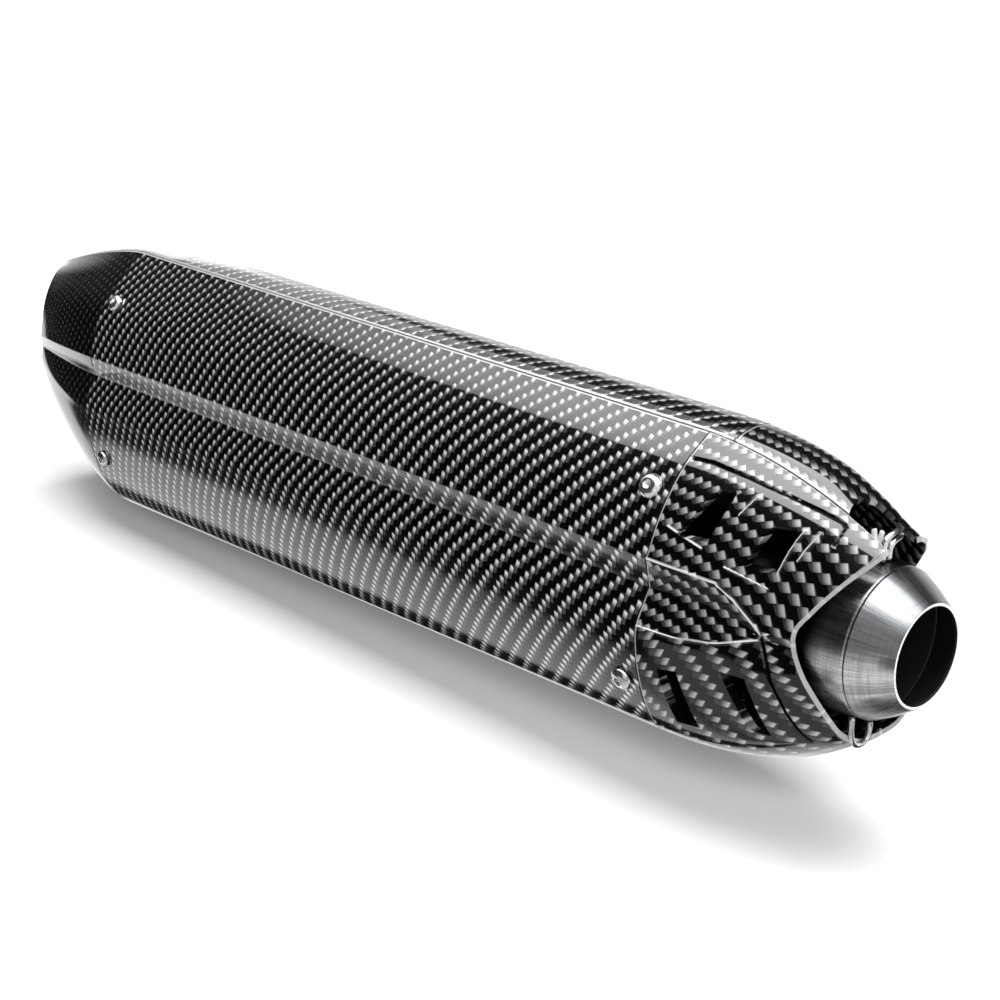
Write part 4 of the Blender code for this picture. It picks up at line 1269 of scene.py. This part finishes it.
def button_screw(name, placing, head, height, shank, length, socket, body="muffler"):
    """Rounded button head with a hexagon socket and a plain shank."""
    edge = 0.5 * MM
    dome = []
    for i in range(9):
        a = DOME_END * i / 8
        dome.append((head * (0.42 + 0.58 * math.sin(a) / math.sin(DOME_END)),
                     edge + (height - edge) * (math.cos(a) - 0.17) / 0.83))
    profile = [(0.0, height)] + dome + [(head, 0.0), (shank, 0.0), (shank, -length), (0.0, -length)]
    screw = lathe(name, profile, placing, POLISHED, body, 48)
    above = height + 2.0 * MM
    hexagon = [(0.0, height * 0.35), (socket, height * 0.42), (socket, above), (0.0, above)]
    cutter = lathe(name + "_socket", hexagon, placing, None, steps=6)
    cut_and_freeze(screw, [cutter])
    soften(screw, 0.12 * MM, 40.0)
    return screw


def build_cover_screws():
    for side, side_name in ((1.0, "near"), (-1.0, "far")):
        for label, (x, height) in SCREW_SITES.items():
            place, normal = surface_at(x, height)
            place.y *= side
            normal.y *= side
            tag = side_name + "_" + label
            site = aligned(place + normal * 0.3 * MM, normal)
            screw = button_screw(tag + "_button", site, *in_mm((4.75, 2.7, 2.3, 8.0, 1.8)))
            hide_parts(tag + "_screw")


# ---- outlet ----
def build_outlet():
    front, rear = high_x("outlet_tube"), low_x("outlet_tube")
    radius = box("outlet_tube")[1].z
    bore = radius - TUBE_WALL
    chamfer = 0.4 * MM
    turned("outlet_tube", [
        (radius, front), (radius, rear + chamfer), (radius - chamfer, rear), (bore + chamfer, rear),
        (bore, rear + chamfer), (bore, front),
    ], along_x(), STEEL, 128)
    front, rear = high_x("outlet_trim_ring"), low_x("outlet_trim_ring")
    hole = radius + 0.3 * MM
    turned("outlet_trim_ring", [
        (hole, front), (26.2 * MM, front), (26.7 * MM, front - 2.0 * MM),
        (26.2 * MM, front - 7.0 * MM), (25.4 * MM, rear), (hole, rear),
    ], along_x(), POLISHED, 128, 0.3 * MM, 20.0)


def build_insert():
    front, rear = high_x("silencer_insert"), low_x("silencer_insert")
    flange = box("outlet_tube")[1].z - TUBE_WALL - 0.6 * MM
    flange_x = rear + 3.0 * MM
    tube_radius = 13.5 * MM
    inner = tube_radius - TUBE_WALL
    insert = lathe("insert_body", [
        (flange, flange_x), (flange, rear + 0.4 * MM), (flange - 0.4 * MM, rear),
        (inner + 0.8 * MM, rear), (inner, rear + 1.0 * MM), (inner, front), (tube_radius, front),
        (tube_radius, flange_x),
    ], along_x(), STEEL, "insert", 128)
    cutters = []
    for i in range(4):
        angle = math.radians(52.0 + 45.0 * i)
        place = Vector(in_mm((-495.0 - 22.0 * i, 0.0, 0.0)))
        direction = Vector((0.0, math.sin(angle), math.cos(angle)))
        cutters.append(bar("insert_hole_%d" % i, aligned(place, direction), 2.5 * MM))
    screw_place = (rear - 0.3 * MM, 0.0, 17.8 * MM)
    screw_site = Matrix.Translation(screw_place) @ Matrix.Rotation(-math.pi / 2, 4, "Y")
    cutters.append(bar("insert_screw_hole", screw_site, 1.9 * MM))
    cut_and_freeze(insert, cutters)
    dress(insert, "silencer_insert", 0.15 * MM, 30.0)
    screw = button_screw("insert_button", screw_site, *in_mm((3.4, 2.6, 1.6, 11.0, 1.4)),
                         "retaining_screw")
    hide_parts("insert_screw")


def bar(name, placing, radius, reach=30.0 * MM):
    """Round cutter bar."""
    profile = [(0.0, reach), (radius, reach), (radius, -reach), (0.0, -reach)]
    return lathe(name, profile, placing, None, steps=32)


# ---- hanger ----
def span_y(node):
    low, high = box(node)
    return low.y, high.y


def half_circle(x, z, radius, start):
    """Outline points from the start angle."""
    angles = [start + math.pi * i / 24 for i in range(25)]
    return [(x + radius * math.cos(a), z + radius * math.sin(a)) for a in angles]


def build_hanger():
    boss_low, boss_high = box("hanger_boss")
    collar_low, collar_high = box("hanger_collar")
    hx = 0.5 * (boss_low.x + boss_high.x)
    hz = 0.5 * (boss_low.z + boss_high.z)
    ex = 0.5 * (collar_low.x + collar_high.x)
    waist = ((hx + 0.35 * (ex - hx), 10.5 * MM), (hx + 0.65 * (ex - hx), 11.0 * MM))
    outline = half_circle(hx, hz, 14.0 * MM, math.pi / 2)
    outline += [(x, hz - half) for x, half in waist]
    outline += half_circle(ex, hz, 17.0 * MM, -math.pi / 2)
    outline += [(x, hz + half) for x, half in reversed(waist)]
    bracket = prism("hanger_bracket_body", outline, *span_y("hanger_bracket"))
    attach(bracket, ALUMINIUM, "muffler")
    cut_and_freeze(bracket, [
        bar("bolt_clearance", along_y(hx, 60.0 * MM, hz), 4.3 * MM),
        bar("grommet_clearance", along_y(ex, 60.0 * MM, hz), 9.8 * MM),
    ])
    dress(bracket, "hanger_bracket", 0.8 * MM, 50.0, 3)
    build_bolted_boss(along_y(hx, 0.0, hz))
    build_eye(along_y(ex, 0.0, hz))


def build_bolted_boss(site):
    """Boss, washer and bolt."""
    hole = 4.3 * MM
    low, high = span_y("hanger_boss")
    turned("hanger_boss", [
        (11.0 * MM, low), (11.0 * MM, high - 0.6 * MM), (10.4 * MM, high), (hole, high), (hole, low),
    ], site, ALUMINIUM)
    low, high = span_y("hanger_washer")
    turned("hanger_washer", tube_profile(hole, 8.0 * MM, low, high), site, POLISHED,
           width=0.25 * MM)
    bolt_site = site @ Matrix.Translation((0.0, 0.0, high + 0.3 * MM))
    bolt = button_screw("hanger_bolt_body", bolt_site, *in_mm((7.0, 4.4, 3.9, 24.0, 2.9)))
    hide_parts("hanger_bolt")


def build_eye(site):
    """Collar and grommet."""
    low, high = span_y("hanger_collar")
    turned("hanger_collar", tube_profile(4.2 * MM, 6.3 * MM, low, high), site, POLISHED)
    low, high = span_y("hanger_grommet")
    middle = 0.5 * (low + high)
    outer, groove, hole, groove_half, chamfer = in_mm((12.0, 9.5, 6.6, 2.8, 0.8))
    turned("hanger_grommet", [
        (outer - chamfer, low), (outer, low + chamfer), (outer, middle - groove_half),
        (groove, middle - groove_half), (groove, middle + groove_half),
        (outer, middle + groove_half), (outer, high - chamfer), (outer - chamfer, high),
        (hole, high), (hole, low),
    ], site, RUBBER)


# ---- stage ----
FLOOR_REACH = 30.0
FLOOR_GAP = 0.4 * MM
CAMERA_LENS = 51.61
CAMERA_PLACE = in_mm((238.67, -389.72, 196.46))
CAMERA_TARGET = in_mm((-217.6, 0.0, 0.56))


def build_floor():
    """Pale floor that stays white to the horizon and darkens only in the muffler's shadow."""
    material, net = new_net("pale_floor")
    place = net.place()
    shade = net.tint(net.grain(place, 3.0, 2.0), grey(0.88, 1.01), grey(0.92, 1.01))
    from_middle = net.vector("SUBTRACT", place, (-0.30, 0.0, 0.0))
    reach = net.vector("LENGTH", from_middle, output="Value")
    glow = net.plus(net.ramp(reach, 0.45, 1.1), 0.10)
    net.shader(Base_Color=shade, Roughness=0.6, Specular_IOR_Level=0.1,
               Emission_Color=grey(1.0, 1.01), Emission_Strength=glow)
    z = CAD_BOX[0].z - AXIS_LIFT.z - FLOOR_GAP
    corners = [(x * FLOOR_REACH, y * FLOOR_REACH, z) for x, y in ((-1, -1), (1, -1), (1, 1), (-1, 1))]
    floor = mesh_piece("floor", corners, [(0, 1, 2, 3)], None)
    floor.data.materials.append(material)
    floor.visible_glossy = False


def aim(item, place, target):
    """Put a lamp or camera at the place, looking at the target, and link it."""
    item.location = Vector(place) + AXIS_LIFT
    direction = Vector(target) - Vector(place)
    item.rotation_euler = direction.to_track_quat("-Z", "Y").to_euler()
    bpy.context.scene.collection.objects.link(item)


def area_light(name, place, target, size, energy):
    data = bpy.data.lights.new(name, "AREA")
    data.shape = "RECTANGLE"
    data.size, data.size_y = size
    data.energy = energy
    light = bpy.data.objects.new(name, data)
    light.visible_glossy = False
    aim(light, place, target)


def build_world():
    """White to the camera, soft fill to matt surfaces, a studio of strip lights to glossy ones."""
    world = bpy.data.worlds.new("studio")
    bpy.context.scene.world = world
    net = Net(world)
    direction = net.add("ShaderNodeTexCoord").outputs["Generated"]
    x, y, z = net.split(direction)
    studio = net.plus(top_softbox(net, x, y, z), floor_glow(net, x, y, z))
    studio = net.plus(studio, 0.004)
    path = net.add("ShaderNodeLightPath")
    level = net.blend(path.outputs["Is Glossy Ray"], 0.16, studio)
    level = net.blend(path.outputs["Is Camera Ray"], level, 1.0)
    background = net.add("ShaderNodeBackground")
    net.feed(background.inputs["Color"], grey(1.0, 1.02))
    net.feed(background.inputs["Strength"], level)
    output = net.add("ShaderNodeOutputWorld")
    net.tree.links.new(background.outputs[0], output.inputs[0])


def top_softbox(net, x, y, z):
    """Long overhead softbox beside the seam, cut at a slant at its far end."""
    near_edge = net.math("MULTIPLY_ADD", z, 0.42, y)
    slant = net.minus(net.times(z, 0.4225), y)
    slant = net.math("MULTIPLY_ADD", x, 0.433, slant)
    mask = net.times(net.ramp(near_edge, -0.010, 0.012), net.ramp(slant, -0.012, 0.03))
    strength = net.times(net.math("MAXIMUM", net.minus(z, 0.53), 0.0), 22.0)
    return net.times(mask, strength)


def degrees_of(net, value):
    return net.times(value, 180.0 / math.pi)


def floor_glow(net, x, y, z):
    """Light from the floor and the screens, laid out over the ray's azimuth and elevation in degrees."""
    az = degrees_of(net, net.math("ARCTAN2", net.times(y, -1.0), net.times(x, -1.0)))
    el = degrees_of(net, net.math("ARCSINE", net.math("MINIMUM", net.math("MAXIMUM", z, -1.0), 1.0)))
    back = net.times(net.ramp(az, 98.0, 125.0), net.ramp(el, -20.0, 0.0))
    screen = net.times(net.window(az, -33.0, -30.0, -9.0, 2.0), net.ramp(el, 0.0, 6.0))
    crest = net.times(net.window(az, -33.0, -30.0, -1.0, 4.0), net.ramp(el, 24.0, 34.0))
    rim = net.times(net.window(az, -75.0, -65.0, -33.0, -30.0), net.ramp(el, 8.0, 2.0))
    total = lit_floor(net, az, el)
    for lamp, level in ((back, 0.8), (screen, 1.1), (crest, 0.5), (rim, 1.0)):
        total = net.plus(total, net.times(lamp, level))
    return total


def lit_floor(net, az, el):
    """The pale floor: bright below its edge beside and beyond the muffler, dark under it."""
    beyond = net.math("MAXIMUM", net.math("MINIMUM", az, 8.0), -14.0)
    beyond = net.math("MULTIPLY_ADD", beyond, -1.15, -10.0)
    side = net.times(net.math("MAXIMUM", net.minus(az, 24.0), 0.0), -0.8)
    steeper = net.times(net.math("MINIMUM", net.math("MAXIMUM", az, -16.0), 0.0), -0.9)
    front = net.ramp(az, 50.0, 62.0)
    edge = net.math("MAXIMUM", net.plus(net.plus(beyond, steeper), side), -36.0)
    edge = net.plus(edge, net.times(front, 24.0))
    lit = net.ramp(net.minus(edge, el), -3.0, 4.0)
    shadow = net.times(net.ramp(az, 10.0, 0.0), net.ramp(el, -23.0, -30.0))
    fall = net.blend(net.ramp(az, 22.0, 48.0), 1.25, 0.28)
    level = net.times(lit, net.plus(fall, net.times(front, 0.40)))
    return net.times(level, net.minus(1.0, shadow))


def build_camera():
    data = bpy.data.cameras.new("camera")
    data.lens = CAMERA_LENS
    data.sensor_width = 36.0
    data.clip_start = 10.0 * MM
    camera = bpy.data.objects.new("camera", data)
    aim(camera, CAMERA_PLACE, CAMERA_TARGET)
    bpy.context.scene.camera = camera


def build_stage():
    build_floor()
    build_world()
    area_light("overhead", (-0.30, 0.15, 1.2), (-0.30, 0.0, 0.0), (1.6, 1.1), 30.0)
    area_light("inlet_key", (0.35, -0.45, 0.35), (-0.12, 0.0, 0.0), (0.35, 0.35), 4.0)
    build_camera()
    view = bpy.context.scene.view_settings
    view.view_transform = "Standard"
    view.look = "None"


finish_frame_nodes()
build_covers()
build_inlet_caps()
build_inlet()
build_hooks()
build_cover_screws()
build_outlet()
build_insert()
build_hanger()
build_stage()
